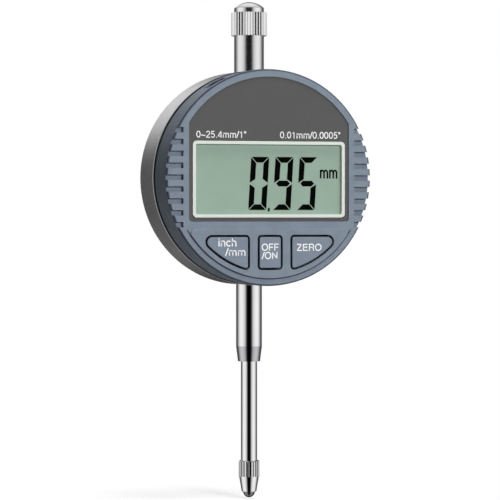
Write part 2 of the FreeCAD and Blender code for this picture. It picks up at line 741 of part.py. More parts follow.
def lcd_frame():
    body = new_body("lcd_frame")
    tube = pad_back(
        body,
        "frame_front",
        "frame_front - glass_back",
        block("-frame_half", "frame_half", "-frame_foot", "frame_top"),
    )
    corners = [(f"{side}frame_half", z) for side in ("-", "") for z in ("-frame_foot", "frame_top")]
    soften(body, tube, "frame_corner", upright_at(*corners))
    pad_back(
        body,
        "plate_back",
        "plate_back - glass_back",
        block(
            "-frame_half",
            "frame_half",
            "-frame_foot - frame_flange",
            "frame_top + frame_flange",
        ),
    )
    opening = cut_back(
        body,
        "frame_front",
        "frame_lip",
        block("-window_half", "window_half", "-window_foot", "window_top"),
    )
    inner = [(f"{side}(window_half)", z) for side in ("-", "") for z in ("-window_foot", "window_top")]
    soften(body, opening, "frame_inner_corner", upright_at(*inner))
    cut_back(
        body,
        "glass_front",
        "glass_thick",
        block("-seat_half", "seat_half", "-seat_foot", "seat_top"),
    )
    return body


def lcd_glass():
    body = new_body("lcd_glass")
    pad_back(
        body,
        "glass_front",
        "glass_thick",
        block(
            "-seat_half + seat_gap",
            "seat_half - seat_gap",
            "-seat_foot + seat_gap",
            "seat_top - seat_gap",
        ),
    )
    return body


def lcd_holder():
    body = new_body("lcd_holder")
    pad_back(
        body,
        "glass_back",
        "glass_back - board_front",
        block("-frame_half", "frame_half", "-frame_foot", "frame_top"),
    )
    cut_back(
        body,
        "glass_back",
        "glass_back - board_front",
        block(
            "-frame_half + holder_wall",
            "frame_half - holder_wall",
            "-frame_foot + holder_wall",
            "frame_top - holder_wall",
        ),
    )
    return body


def zebra_strip(label, foot):
    """One elastomer strip between the glass and the board: foot is the height of its lower side."""
    body = new_body(label)
    pad_back(
        body,
        "glass_back",
        "glass_back - board_front",
        block(
            "-frame_half + holder_wall + zebra_inset",
            "frame_half - holder_wall - zebra_inset",
            foot,
            f"{foot} + zebra_wide",
        ),
    )
    return body


def main_board():
    body = new_body("main_board")
    pad_back(body, "board_front", "board_thick", disc("0", "0", "board_radius"))
    cut_back(body, "board_front", "board_thick", at_screws("screw_radius + screw_room"))
    return body


def controller_chip():
    body = new_body("controller_chip")
    pad_back(
        body,
        "board_front + chip_thick",
        "chip_thick",
        block(
            "-chip_side / 2",
            "chip_side / 2",
            "chip_height - chip_side / 2",
            "chip_height + chip_side / 2",
        ),
    )
    return body


def key_places():
    return [("-key_place", "-key_drop"), ("0", "-key_drop"), ("key_place", "-key_drop")]


def keypad():
    body = new_body("keypad")
    top, rim, half = "keypad_top", "keypad_radius", "keypad_half"
    side_foot = f"-sqrt({rim} ^ 2 - {half} ^ 2)"

    def base(sketch):
        outline(
            sketch,
            [
                (f"-{half}", f"-{top}"),
                (f"-{half}", side_foot, "0", "0"),
                ("0", f"-{rim}", "0", "0"),
                (half, side_foot),
                (half, f"-{top}"),
            ],
        )

    def domes(sketch):
        for x, z in key_places():
            circle(sketch, x, z, "dome_radius")

    pad_back(body, "board_front + keypad_thick", "keypad_thick", base)
    pad_back(body, "dome_front", "dome_high", domes)
    return body


def button(label, side):
    """A key with its cap, the flange that keeps it in the case and the peg that presses its dome."""
    body = new_body(label)

    def shape(grow):
        if side:
            return closed(side_button_outline(side, grow))
        return lambda sketch: middle_button(sketch, grow)

    cap = pad_back(body, "button_front", "button_front - flange_front", shape("0"))
    rounded = soften_buttons(body, cap, "0")
    soften(body, rounded, "button_soften", front_edges("button_front"))
    pad_back(body, "flange_front", "button_flange", shape("button_lap"))
    pad_back(
        body,
        "flange_back",
        "flange_back - (plunger_tip)",
        disc(f"{side} * key_place", "-key_drop", "plunger_radius"),
    )
    return body


def case_gasket():
    body = new_body("case_gasket")
    turned_on_case(
        body,
        [
            ("-seam_front", "cavity_radius"),
            ("-seam_front", "body_radius - gasket_step"),
            ("-body_front", "body_radius - gasket_step"),
            ("-body_front", "cavity_radius"),
        ],
    )
    return body


def rear_body():
    body = new_body("rear_body")
    seat = "cover_radius + seat_gap"
    ledge_front = "cover_inner - ledge_thick"
    turned_on_case(
        body,
        [
            ("-body_front", "cavity_radius"),
            ("-body_front", "body_radius - edge_break"),
            ("-body_front + edge_break", "body_radius"),
            ("back_depth - 2 * edge_break", "body_radius"),
            ("back_depth", "body_radius - 2 * edge_break"),
            ("back_depth", seat),
            ("cover_inner", seat),
            ("cover_inner", "ledge_radius"),
            (ledge_front, "ledge_radius"),
            (ledge_front, "cavity_radius"),
        ],
    )
    pad_back(body, "board_back", "board_back + cover_inner", at_screws("pillar_radius"))

    def boss(offset, length, backward):
        sketch = new_sketch(body, "XY_Plane", offset)
        circle(sketch, "0", "0", "boss_radius")
        feature(body, "Pad", sketch, length, backward=backward)

    boss("top_boss", "cavity_radius + 1 - top_boss", False)
    boss("stem_top", "cavity_radius + 1 + stem_top", True)

    def bore(offset, length, radius):
        sketch = new_sketch(body, "XY_Plane", offset)
        circle(sketch, "0", "0", radius)
        feature(body, "Pocket", sketch, length)

    bore("stem_top", "body_radius + 1 + stem_top", "shoulder_radius")
    bore("-spot_drop", "body_radius - spot_drop + 1", "boss_radius")
    bore("body_radius + 1", "body_radius + 1 - guard_seat", "guard_radius")
    bore("guard_seat", "guard_seat - top_boss", "top_bush_radius")
    cut_back(body, "board_back", "board_back + cover_inner", at_screws("screw_radius + screw_room"))
    return body


def back_cover():
    body = new_body("back_cover")
    pad_back(body, "-(cover_inner)", "cover_thick", disc("0", "0", "cover_radius"))
    lug = new_sketch(body, "YZ_Plane", "0")
    outline(
        lug,
        [
            ("back_depth - cover_thick / 2", "-lug_radius"),
            ("lug_eye", "-lug_radius", "lug_eye", "0"),
            ("lug_eye + lug_radius", "0", "lug_eye", "0"),
            ("lug_eye", "lug_radius"),
            ("back_depth - cover_thick / 2", "lug_radius"),
        ],
    )
    ear = feature(body, "Pad", lug, "lug_thick", both_ways=True)
    back, side = value("back_depth"), value("lug_thick") / 2

    def lug_foot(edge):
        box = edge.BoundBox
        at_foot = abs(box.YMin - back) < 0.01 and box.YLength < 0.01
        return at_foot and box.XLength < 0.01 and abs(abs(box.XMin) - side) < 0.01

    soften(body, ear, "lug_root", lug_foot)
    eye = new_sketch(body, "YZ_Plane", "0")
    circle(eye, "lug_eye", "0", "lug_hole")
    feature(body, "Pocket", eye, "lug_thick + 2", both_ways=True)
    cut_back(body, "-(cover_inner)", "cover_thick", at_screws("screw_radius + screw_room"))
    cut_back(
        body,
        "-(back_depth - head_thick)",
        "head_thick",
        at_screws("head_radius + screw_room"),
    )
    cut_back(
        body,
        "-(cover_inner)",
        "cover_thick",
        disc("battery_place", "0", "lid_plug_radius + seat_gap"),
    )
    cut_back(
        body,
        "-(back_depth - lid_step)",
        "lid_step",
        disc("battery_place", "0", "lid_radius + seat_gap"),
    )
    cut_back(body, "-(cover_inner)", "rail_screw_bite", at_rail_screws("rail_screw_radius"))
    return body


def case_screws():
    body = new_body("case_screws")
    reach = "board_front + screw_grip"
    pad_back(body, reach, f"{reach} + back_depth - head_thick", at_screws("screw_radius"))
    pad_back(body, "-(back_depth - head_thick)", "head_thick", at_screws("head_radius"))
    return body


def battery_holder():
    body = new_body("battery_holder")
    place = "battery_place"
    pad_back(
        body,
        "-(holder_front)",
        "cover_inner - (holder_front)",
        disc(place, "0", "holder_radius"),
    )
    cut_back(
        body,
        "-(holder_front + holder_floor)",
        "cover_inner - (holder_front + holder_floor)",
        disc(place, "0", "battery_radius + battery_gap"),
    )
    cut_back(body, "-(holder_front)", "holder_floor", disc(place, "0", "contact_hole"))
    cut_back(
        body,
        "-(holder_front)",
        "strip_up - (holder_front) + seat_gap",
        block(
            f"{place} - strip_wide / 2 - seat_gap",
            f"{place} + strip_wide / 2 + seat_gap",
            "battery_radius - 1",
            "battery_radius + strip_thick + seat_gap",
        ),
    )
    return body


def battery():
    body = new_body("battery")
    cell = pad_back(
        body,
        "-(battery_front)",
        "battery_thick",
        disc("battery_place", "0", "battery_radius"),
    )
    soften(body, cell, "edge_break", lambda edge: edge.BoundBox.YLength < 0.01)
    return body


def battery_contacts():
    body = new_body("battery_contacts")
    place = "battery_place"
    centre_thick = "holder_spare + holder_floor / 2"
    pad_back(body, "board_back", "board_back + battery_front", disc(place, "0", "contact_post"))
    pad_back(body, f"{centre_thick} - (battery_front)", centre_thick, disc(place, "0", "contact_radius"))
    pad_back(
        body,
        "board_back",
        "board_back + strip_up",
        block(
            f"{place} - strip_wide / 2",
            f"{place} + strip_wide / 2",
            "battery_radius",
            "battery_radius + strip_thick",
        ),
    )
    return body


def battery_cover():
    body = new_body("battery_cover")
    place = "battery_place"
    pad_back(body, "-(cover_inner)", "cover_thick", disc(place, "0", "lid_plug_radius"))
    pad_back(body, "-(back_depth - lid_step)", "lid_step", disc(place, "0", "lid_radius"))
    cut_back(
        body,
        "-(back_depth - coin_slot_deep)",
        "coin_slot_deep",
        block(
            f"{place} - coin_slot_long / 2",
            f"{place} + coin_slot_long / 2",
            "-coin_slot_wide / 2",
            "coin_slot_wide / 2",
        ),
    )
    return body


def data_port():
    body = new_body("data_port")
    pad_back(
        body,
        "port_front",
        "port_front - board_front",
        block("-port_left", "-port_right", "port_foot", "notch_floor"),
    )
    return body


def stem():
    body = new_body("stem")
    mouth = "spindle_radius + passing_gap"
    turned_on_spindle(
        body,
        [
            ("stem_bore", "stem_top"),
            ("shoulder_radius", "stem_top"),
            ("shoulder_radius", "-spot_drop"),
            ("stem_radius", "-spot_drop"),
            ("stem_radius", "-spot_drop - stem_grip"),
            ("stem_tip_radius", "stem_mouth"),
            (mouth, "stem_mouth"),
            (mouth, "bore_step"),
            ("stem_bore", "bore_step"),
        ],
    )
    return body


def bush(label, foot, length, radius):
    """A plain bearing of the spindle."""
    body = new_body(label)
    inner = "spindle_radius + running_gap"
    top = f"{foot} + {length}"
    turned_on_spindle(body, [(inner, foot), (radius, foot), (radius, top), (inner, top)])
    return body


def guard_tube():
    body = new_body("guard_tube")
    turned_on_spindle(
        body,
        [
            ("guard_bore", "guard_seat"),
            ("guard_radius", "guard_seat"),
            ("guard_radius", "guard_shoulder"),
            ("neck_radius", "guard_shoulder"),
            ("neck_radius", "neck_top - edge_break"),
            ("neck_radius - edge_break", "neck_top"),
            ("guard_bore", "neck_top"),
        ],
    )
    return body


def dust_cap():
    body = new_body("dust_cap")
    bore = "neck_radius + cap_gap"
    step = "neck_top + 2 * cap_gap"
    dome_centre = "cap_top - dome_curve"
    shell = turned_on_spindle(
        body,
        [
            (bore, "guard_shoulder"),
            ("cap_radius - edge_break", "guard_shoulder"),
            ("cap_radius", "guard_shoulder + edge_break"),
            ("cap_radius", "band_top - edge_break"),
            ("cap_radius - edge_break", "band_top"),
            ("cap_crown_radius", "band_top"),
            ("cap_crown_radius", "crown_top", "0", dome_centre),
            ("0", "cap_top"),
            ("0", "cap_top - cap_roof"),
            ("guard_bore", "cap_top - cap_roof"),
            ("guard_bore", step),
            (bore, step),
        ],
    )
    crown_top = value("crown_top")

    def dome_edge(edge):
        box = edge.BoundBox
        return box.ZLength < 0.01 and abs(box.ZMin - crown_top) < 0.01

    soften(body, shell, "cap_soften", dome_edge)
    deep, wide = "cap_flute_deep", "cap_flute_wide"
    flutes(body, "band_top", "cap_band", "cap_radius", deep, wide, "cap_flutes")
    return body


def spindle():
    body = new_body("spindle")
    hole = "stud_radius"
    hole_top = "spindle_foot + stud_long + stud_room"
    turned_on_spindle(
        body,
        [
            (hole, "spindle_foot"),
            ("spindle_radius - edge_break", "spindle_foot"),
            ("spindle_radius", "spindle_foot + edge_break"),
            ("spindle_radius", "spindle_top - edge_break"),
            ("spindle_radius - edge_break", "spindle_top"),
            ("0", "spindle_top"),
            ("0", hole_top),
            (hole, hole_top),
        ],
    )
    return body


def contact_point():
    body = new_body("contact_point")
    socket = "sqrt(ball_radius ^ 2 - ball_rise ^ 2)"
    crimp = "cone_foot - crimp_high"
    turned_on_spindle(
        body,
        [
            ("0", "spindle_foot + stud_long"),
            ("stud_radius", "spindle_foot + stud_long"),
            ("stud_radius", "spindle_foot"),
            ("knurl_radius - edge_break", "spindle_foot"),
            ("knurl_radius", "spindle_foot - edge_break"),
            ("knurl_radius", "knurl_foot"),
            ("knurl_radius - knurl_taper", "knurl_foot"),
            ("cone_tip_radius", "cone_foot"),
            ("crimp_radius", crimp),
            (socket, crimp, "0", "ball_middle"),
            ("0", "ball_middle + ball_radius"),
        ],
    )
    deep, wide = "knurl_flute_deep", "knurl_flute_wide"
    flutes(body, "spindle_foot", "knurl_long", "knurl_radius", deep, wide, "knurl_flutes")
    return body


def contact_ball():
    body = new_body("contact_ball")
    turned_on_spindle(
        body,
        [
            ("0", "ball_middle - ball_radius", "0", "ball_middle"),
            ("ball_radius", "ball_middle", "0", "ball_middle"),
            ("0", "ball_middle + ball_radius"),
        ],
    )
    return body


def bump_washer():
    body = new_body("bump_washer")
    inner = "spindle_radius + washer_gap"
    turned_on_spindle(
        body,
        [
            (inner, "stem_top"),
            ("washer_radius", "stem_top"),
            ("washer_radius", "carrier_foot"),
            (inner, "carrier_foot"),
        ],
    )
    return body


def spindle_carrier():
    body = new_body("spindle_carrier")
    pad_back(
        body,
        "scale_back",
        "scale_back + carrier_back",
        block("-carrier_half", "carrier_half", "carrier_foot", "carrier_top"),
    )
    cross = new_sketch(body, "XY_Plane", "carrier_top")
    circle(cross, "0", "0", "spindle_radius")
    feature(body, "Pocket", cross, "carrier_high")
    clamp = new_sketch(body, "YZ_Plane", "0")
    circle(clamp, "-clamp_front", "(carrier_foot + carrier_top) / 2", "clamp_radius")
    feature(body, "Pocket", clamp, "2 * carrier_half + 2", both_ways=True)
    cut_back(
        body,
        "-pin_root",
        "carrier_back - pin_root",
        disc("0", "pin_height", "pin_radius"),
    )
    return body


def carrier_screw():
    body = new_body("carrier_screw")
    for offset, length, radius in (
        ("-carrier_half", "2 * carrier_half", "clamp_radius"),
        ("carrier_half", "clamp_head_long", "clamp_head"),
    ):
        sketch = new_sketch(body, "YZ_Plane", offset)
        circle(sketch, "-clamp_front", "(carrier_foot + carrier_top) / 2", radius)
        feature(body, "Pad", sketch, length)
    return body


def slider_plate():
    body = new_body("slider_plate")
    foot = "carrier_foot - scale_drop"
    pad_back(
        body,
        "scale_front",
        "scale_thick",
        block("-scale_half", "scale_half", foot, f"{foot} + scale_long"),
    )
    return body


def guide_pin():
    body = new_body("guide_pin")
    pad_back(body, "-pin_root", "pin_end - pin_root", disc("0", "pin_height", "pin_radius"))
    return body


def at_rail_screws(radius):
    def draw(sketch):
        for z in ("(rail_foot + slot_foot) / 2", "(rail_top + slot_top) / 2"):
            circle(sketch, "0", z, radius)

    return draw


def guide_rail():
    body = new_body("guide_rail")
    depth = "cover_inner - rail_front"
    pad_back(
        body,
        "-rail_front",
        depth,
        block("-rail_half", "rail_half", "rail_foot", "rail_top"),
    )
    cut_back(
        body,
        "-rail_front",
        depth,
        block("-pin_radius - slot_gap", "pin_radius + slot_gap", "slot_foot", "slot_top"),
    )
    cut_back(body, "-rail_front", depth, at_rail_screws("rail_screw_radius"))
    cut_back(body, "-rail_front", "rail_head_thick", at_rail_screws("rail_head_radius"))
    return body


def rail_screws():
    body = new_body("rail_screws")
    shank = "cover_inner + rail_screw_bite - rail_front"
    pad_back(body, "-rail_front", shank, at_rail_screws("rail_screw_radius"))
    pad_back(body, "-rail_front", "rail_head_thick", at_rail_screws("rail_head_radius"))
    return body


def return_spring():
    """A compression spring between the carrier and the top boss."""
    body = new_body("return_spring")
    sketch = new_sketch(body, "XZ_Plane", "0")
    circle(sketch, "spring_radius", "carrier_top + wire_radius", "wire_radius")
    coil = body.newObject("PartDesign::AdditiveHelix", "return_spring_coil")
    coil.Profile = (sketch, [""])
    coil.ReferenceAxis = (sketch, ["V_Axis"])
    coil.Mode = "height-turns-angle"
    coil.setExpression("Height", formula("top_boss - carrier_top - 2 * wire_radius"))
    coil.setExpression("Turns", formula("spring_turns"))
    return body


SUB_PARTS = [
    front_bezel(),
    face_panel(),
    lcd_frame(),
    lcd_glass(),
    lcd_holder(),
    zebra_strip("upper_zebra_strip", "frame_top - holder_wall - zebra_inset - zebra_wide"),
    zebra_strip("lower_zebra_strip", "-frame_foot + holder_wall + zebra_inset"),
    main_board(),
    controller_chip(),
    keypad(),
    button("button_inch_mm", -1),
    button("button_off_on", 0),
    button("button_zero", 1),
    case_gasket(),
    rear_body(),
    back_cover(),
    case_screws(),
    battery_holder(),
    battery(),
    battery_contacts(),
    battery_cover(),
    data_port(),
    stem(),
    bush("lower_stem_bush", "bore_step", "bush_long", "stem_bore"),
    bush("upper_stem_bush", "stem_top - bush_long", "bush_long", "stem_bore"),
    bush("top_bush", "top_boss", "guard_seat - top_boss", "top_bush_radius"),
    guard_tube(),
    dust_cap(),
    spindle(),
    contact_point(),
    contact_ball(),
    bump_washer(),
    spindle_carrier(),
    carrier_screw(),
    slider_plate(),
    guide_pin(),
    guide_rail(),
    rail_screws(),
    return_spring(),
]
doc.recompute()

faults = [item.Label for item in doc.Objects if {"Invalid", "Error"} & set(item.State)]
faults += [part.Label for part in SUB_PARTS if part.Shape.isNull() or not part.Shape.isValid()]
if faults:
    raise SystemExit(f"these objects failed: {faults}")

os.makedirs("parts", exist_ok=True)
for part in SUB_PARTS:
    part.Shape.exportStep(f"parts/{part.Label}.step")
    print(part.Label, len(part.Shape.Solids), round(part.Shape.Volume, 2))
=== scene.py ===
"""Looks of the digital indicator: finishes, some with painted shade, the display's segments, printed words
and key labels, the port's gold pads, dark crosses of painted shade in the screws' cross recesses, the return
spring as a piece of its own, and a plain studio.

Lengths are metres in the part's own frame: +X right, +Y into the case from its face, +Z up, origin halfway
along the stem. Heights and widths on the face are counted from the case's axis, as the part's source does.
"""

import math

import bmesh
import bpy
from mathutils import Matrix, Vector


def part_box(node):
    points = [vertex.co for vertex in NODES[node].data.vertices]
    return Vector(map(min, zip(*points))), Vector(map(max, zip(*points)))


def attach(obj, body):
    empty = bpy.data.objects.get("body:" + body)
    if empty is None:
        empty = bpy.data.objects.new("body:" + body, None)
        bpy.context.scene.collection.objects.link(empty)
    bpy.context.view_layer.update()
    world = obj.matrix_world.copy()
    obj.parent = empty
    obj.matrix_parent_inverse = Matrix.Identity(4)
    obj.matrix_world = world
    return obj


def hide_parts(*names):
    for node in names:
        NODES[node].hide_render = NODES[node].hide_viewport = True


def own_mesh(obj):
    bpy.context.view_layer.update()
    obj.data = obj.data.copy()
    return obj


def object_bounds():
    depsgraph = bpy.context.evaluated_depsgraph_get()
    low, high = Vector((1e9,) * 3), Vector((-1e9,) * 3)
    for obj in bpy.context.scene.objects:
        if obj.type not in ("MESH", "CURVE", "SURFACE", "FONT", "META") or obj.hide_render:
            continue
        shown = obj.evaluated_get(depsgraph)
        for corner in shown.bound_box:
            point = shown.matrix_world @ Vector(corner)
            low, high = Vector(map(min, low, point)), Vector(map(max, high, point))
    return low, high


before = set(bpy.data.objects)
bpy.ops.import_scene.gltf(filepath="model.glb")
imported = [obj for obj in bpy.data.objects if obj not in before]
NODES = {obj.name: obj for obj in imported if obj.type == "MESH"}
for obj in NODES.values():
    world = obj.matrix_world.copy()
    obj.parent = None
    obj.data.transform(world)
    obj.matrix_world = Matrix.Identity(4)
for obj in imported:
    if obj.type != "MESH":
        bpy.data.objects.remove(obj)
cad_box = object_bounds()

MM = 0.001

# Height of the case's axis in the part's frame.
bezel_low, bezel_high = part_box("front_bezel")
AXIS = (bezel_low.z + bezel_high.z) / 2

# The camera stands to the object's left, a little lower than the case's axis, and looks slightly down. The
# lens and its sensor are in millimetres, and the shift is a share of the picture's width.
CAMERA_AZIMUTH = math.radians(19.6)
TOWARDS_CAMERA = Vector((-math.sin(CAMERA_AZIMUTH), -math.cos(CAMERA_AZIMUTH), 0))
CAMERA_DISTANCE = 0.9
CAMERA_DROP = 0.011
FOCAL_LENGTH = 210.6
SENSOR_WIDTH = 36
TILT_DOWN = math.radians(0.705)
SHIFT_RIGHT = 0.002
VIEW_DEPTH = 10

# Brightness of the studio as the polished parts see it, against the angle round from the camera in degrees:
# a dark card behind the camera, a soft box on each side and a dim room behind the object.
STUDIO = [
    (0, 0.0),
    (15, 0.004),
    (22.5, 0.06),
    (31, 0.39),
    (40, 0.63),
    (50, 0.80),
    (65, 0.92),
    (85, 0.90),
    (100, 0.62),
    (112, 0.27),
    (126, 0.09),
    (145, 0.10),
    (160, 0.22),
    (168, 0.12),
    (180, 0.03),
]
# Brightness of the ceiling, and how steeply a direction rises, as a sine, where it starts and is full.
CEILING = 0.38
CEILING_START = 0.42
CEILING_FULL = 0.7
# Cards in the studio: the direction to each, the angles from it in degrees at which it ends and is full, and
# its brightness. The rear body mirrors the first and the dust cap's dome the second.
CARDS = [
    ((-0.01, 0.942, 0.335), 19, 3, 1.05),
    ((0.19, 0.54, 0.82), 27, 6, 0.85),
]
# Strength of the even light that comes from all round, in everything but mirrors.
AMBIENT = 0.03

# Soft lamps that look at the middle of the case: name, degrees round from its front towards +X, degrees up,
# distance, width and height in metres, and watts.
LAMPS = [
    ("key", 8, 12, 1.2, (0.3, 0.22), 9.0),
    ("top", 28, 70, 1.0, (0.5, 0.4), 6.4),
    ("back", 180, 25, 1.2, (0.3, 0.6), 5.8),
]

# The floor: how far it lies below the object, its radius, and how far out the shadowed grey round the object
# starts to turn white and is white, in metres.
FLOOR_DROP = 0.0004
FLOOR_RADIUS = 3.0
FLOOR_SIDES = 96
FADE_START = 0.02
FADE_END = 0.08
# Grey of the floor near the object, the white added to it there, and its grey where it lights the object.
FLOOR_GREY = 0.5
FLOOR_GLOW = 0.7
FLOOR_BOUNCE = 0.4

# Stretches of a noise, which runs from 0 to 1, over which a finish's colour and roughness vary.
COLOUR_NOISE = (0.35, 0.65)
GLOSS_NOISE = (0.3, 0.7)

# Numbers of the sockets that a Mix node uses for colours.
MIX_FIRST = 6
MIX_SECOND = 7
MIX_RESULT = 2

# Painted shades on the mouldings and the metal take a share of the colour's brightness away, and a little
# less of the blue.
RIM_SHADE = 0.72
NOTCH_SHADE = 0.7
LINE_SHADE = 0.74
SEAM_SHADE = 0.85
BUTTON_SHADE = 0.82
TAPER_SHADE = 0.4
BLUE_SHARE = 0.93

# Soft edges of those painted shades, each the two places between which one comes or goes, in millimetres. The
# painted shade on the bezel's rim and the painted shadow line round the step of its button field lie at
# distances from the case's axis, and the line's top is a height over that axis. Depths are counted from the
# front of the button field.
RIM_EDGE = (32.1, 32.4)
RIM_DEPTH = (0.45, 0.7)
LINE_INNER = (30.3, 30.45)
LINE_OUTER = (30.7, 30.85)
LINE_TOP = (-16.2, -15.4)
# Painted shade in the port notch in the top of the bezel: its two sides, its front and back, and its foot.
NOTCH_LEFT = (-17.9, -17.7)
NOTCH_RIGHT = (-11.9, -11.7)
NOTCH_FRONT = (3.95, 4.05)
NOTCH_BACK = (9.1, 9.2)
NOTCH_FOOT = (19, 20)
# Edges of the painted shade at the seam, in the buttons' gaps and on the stem's taper: counted backwards from
# the bezel's back, the gasket's back and the tops of the buttons, and the top of the stem's taper, counted up
# from the case's axis.
BEZEL_SEAM = (-0.6, -0.5)
CASE_SEAM = (0.05, 0.15)
BUTTON_EDGE = (0.03, 0.12)
TAPER_TOP = (-51.7, -51.5)

# How far the button field stands above the bezel's face, in millimetres.
FIELD_RISE = 0.5

# Edges sharper than this angle stay sharp on the smooth CAD pieces.
SHARP_ANGLE = math.radians(22)

# Seven-segment digits of the display, in millimetres. A mitre gap parts two segments at a corner, and a waist
# gap parts the upper and lower ones, whose ends slope there. The middle bar starts a share of a stroke in.
DIGIT_WIDE = 5.8
DIGIT_HIGH = 16.05
DIGIT_FOOT = -9.8
DIGIT_LEFT = -6.4
DIGIT_PITCH = 7.81
DIGIT_SLANT = math.radians(3.5)
STROKE = 1.72
MITRE_GAP = 0.17
WAIST_GAP = 0.2
WAIST_SLOPE = 0.66
BAR_INSET = 0.38
READING = "095"
LIT = {"0": "abcdef", "9": "abcdfg", "5": "acdfg"}

# The decimal point, from its lower left corner, and where that lies beside and below the foot of the digits.
POINT_SHAPE = [(-0.05, 0), (0.58, 0), (0.7, 1.1), (0.07, 1.1)]
POINT_LEFT = -0.15
POINT_DROP = 0.45

# Thickness of printed words, segments and the dark crosses of painted shade in the screws' recesses, in
# millimetres.
PRINT_THICK = 0.02

# Gold pads on the data port's block, in millimetres, with what is left free in front of them and behind them.
PADS = 4
PAD_WIDE = 0.7
PAD_GAP = 0.55
PAD_THICK = 0.06
PAD_FRONT = 0.7
PAD_BACK = 1.2

# Dark crosses of painted shade in the case screws' cross recesses, in millimetres: reach and half width of an
# arm, and how close to the screws' back a corner lies that belongs to the end of a head.
RECESS_ARM = 1.15
RECESS_HALF = 0.24
HEAD_FLATNESS = 0.01

# Printed words, with their left end, right end and baseline from the case's axis, the height of a capital and
# the width of the pen, all in millimetres. Before them stands the print's name, or the key's node and body.
PANEL_PRINT = [
    ("range", '0~25.4mm/1"', -23.32, -7.27, 11.87, 2.05, 0.27),
    ("steps", '0.01mm/0.0005"', 3.35, 23.1, 11.87, 2.05, 0.27),
]
KEY_PRINT = [
    ("button_inch_mm", "key_inch_mm", "inch", -16.75, -10.65, -20.75, 2.45, 0.34),
    ("button_inch_mm", "key_inch_mm", "/mm", -14.35, -7.75, -23.55, 2.3, 0.34),
    ("button_off_on", "key_off_on", "OFF", -2.85, 2.75, -22.05, 2.1, 0.33),
    ("button_off_on", "key_off_on", "/ON", -2.7, 2.45, -24.55, 2.1, 0.33),
    ("button_zero", "key_zero", "ZERO", 8.45, 16.6, -22.15, 2.1, 0.33),
]
UNIT_PRINT = ("mm", 16.62, 22.6, -0.2, 3.62, 0.54)

# Curves in the letters are divided at least this finely, in degrees, and into at least this many steps.
ARC_STEP = 15
LEAST_STEPS = 4
# Points of a letter nearer than this are one point, and a corner reaches no further than half the pen's width
# divided by this limit.
SAME_POINT = 0.001
CORNER_LIMIT = 0.5

# A plain sans-serif alphabet drawn with a pen, where 1 is the height of a capital. Each letter has its width
# and its strokes. A stroke is a list of points (x, z), in which (x, z, radius x, radius z, from, to) is an
# arc round (x, z) between two angles in degrees. A stroke that ends where it starts is closed.
LETTERS = {
    "0": (0.774, [[(0.387, 0.5, 0.277, 0.445, 0, 360)]]),
    "1": (0.774, [[(0.43, 0), (0.43, 0.99)], [(0.18, 0.745), (0.3, 0.775), (0.38, 0.85), (0.42, 0.96)]]),
    "2": (
        0.774,
        [[(0.375, 0.685, 0.262, 0.257, 172, -32), (0.4, 0.37), (0.2, 0.23), (0.11, 0.058), (0.68, 0.058)]],
    ),
    "4": (
        0.774,
        [[(0.545, 0), (0.545, 0.985)], [(0.53, 0.95), (0.09, 0.3)], [(0.045, 0.245), (0.71, 0.245)]],
    ),
    "5": (0.774, [[(0.63, 0.935), (0.21, 0.935), (0.145, 0.485), (0.365, 0.335, 0.265, 0.277, 140, -148)]]),
    ".": (0.387, [[(0.19, 0), (0.19, 0.13)]]),
    "~": (0.813, [[(0.08, 0.3), (0.2, 0.4), (0.33, 0.38), (0.48, 0.31), (0.61, 0.29), (0.73, 0.39)]]),
    "m": (
        1.16,
        [
            [(0.15, 0), (0.15, 0.728)],
            [(0.363, 0.46, 0.213, 0.21, 180, 0), (0.576, 0)],
            [(0.789, 0.46, 0.213, 0.21, 180, 0), (1.002, 0)],
        ],
    ),
    "n": (0.774, [[(0.15, 0), (0.15, 0.728)], [(0.385, 0.45, 0.235, 0.22, 180, 0), (0.62, 0)]]),
    "h": (0.774, [[(0.15, 0), (0.15, 1)], [(0.385, 0.45, 0.235, 0.22, 180, 0), (0.62, 0)]]),
    "c": (0.696, [[(0.36, 0.364, 0.275, 0.312, 38, 322)]]),
    "i": (0.309, [[(0.155, 0), (0.155, 0.728)], [(0.155, 0.87), (0.155, 1)]]),
    "/": (0.387, [[(0, -0.02), (0.387, 1.02)]]),
    '"': (0.494, [[(0.16, 0.68), (0.16, 1)], [(0.335, 0.68), (0.335, 1)]]),
    "O": (1.084, [[(0.542, 0.5, 0.432, 0.45, 0, 360)]]),
    "F": (0.851, [[(0.18, 0), (0.18, 0.942), (0.8, 0.942)], [(0.18, 0.49), (0.74, 0.49)]]),
    "N": (1.006, [[(0.165, 0), (0.165, 1)], [(0.165, 0.96), (0.84, 0.04)], [(0.84, 0), (0.84, 1)]]),
    "Z": (
        0.851,
        [[(0.08, 0.942), (0.76, 0.942)], [(0.73, 0.93), (0.09, 0.07)], [(0.04, 0.058), (0.8, 0.058)]],
    ),
    "E": (
        0.929,
        [[(0.85, 0.942), (0.18, 0.942), (0.18, 0.058), (0.86, 0.058)], [(0.18, 0.53), (0.81, 0.53)]],
    ),
    "R": (
        1.006,
        [
            [(0.18, 0), (0.18, 0.942), (0.6, 0.715, 0.25, 0.227, 90, -90), (0.18, 0.488)],
            [(0.6, 0.488), (0.76, 0.42), (0.8, 0.24), (0.85, 0)],
        ],
    ),
}


def face_of(node):
    """How far back the front of a node lies."""
    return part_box(node)[0].y


def linear(red, green, blue):
    """A colour given as 8-bit sRGB, in the linear values that shaders take."""

    def one(level):
        level /= 255
        return level / 12.92 if level <= 0.04045 else ((level + 0.055) / 1.055) ** 2.4

    return (one(red), one(green), one(blue), 1.0)


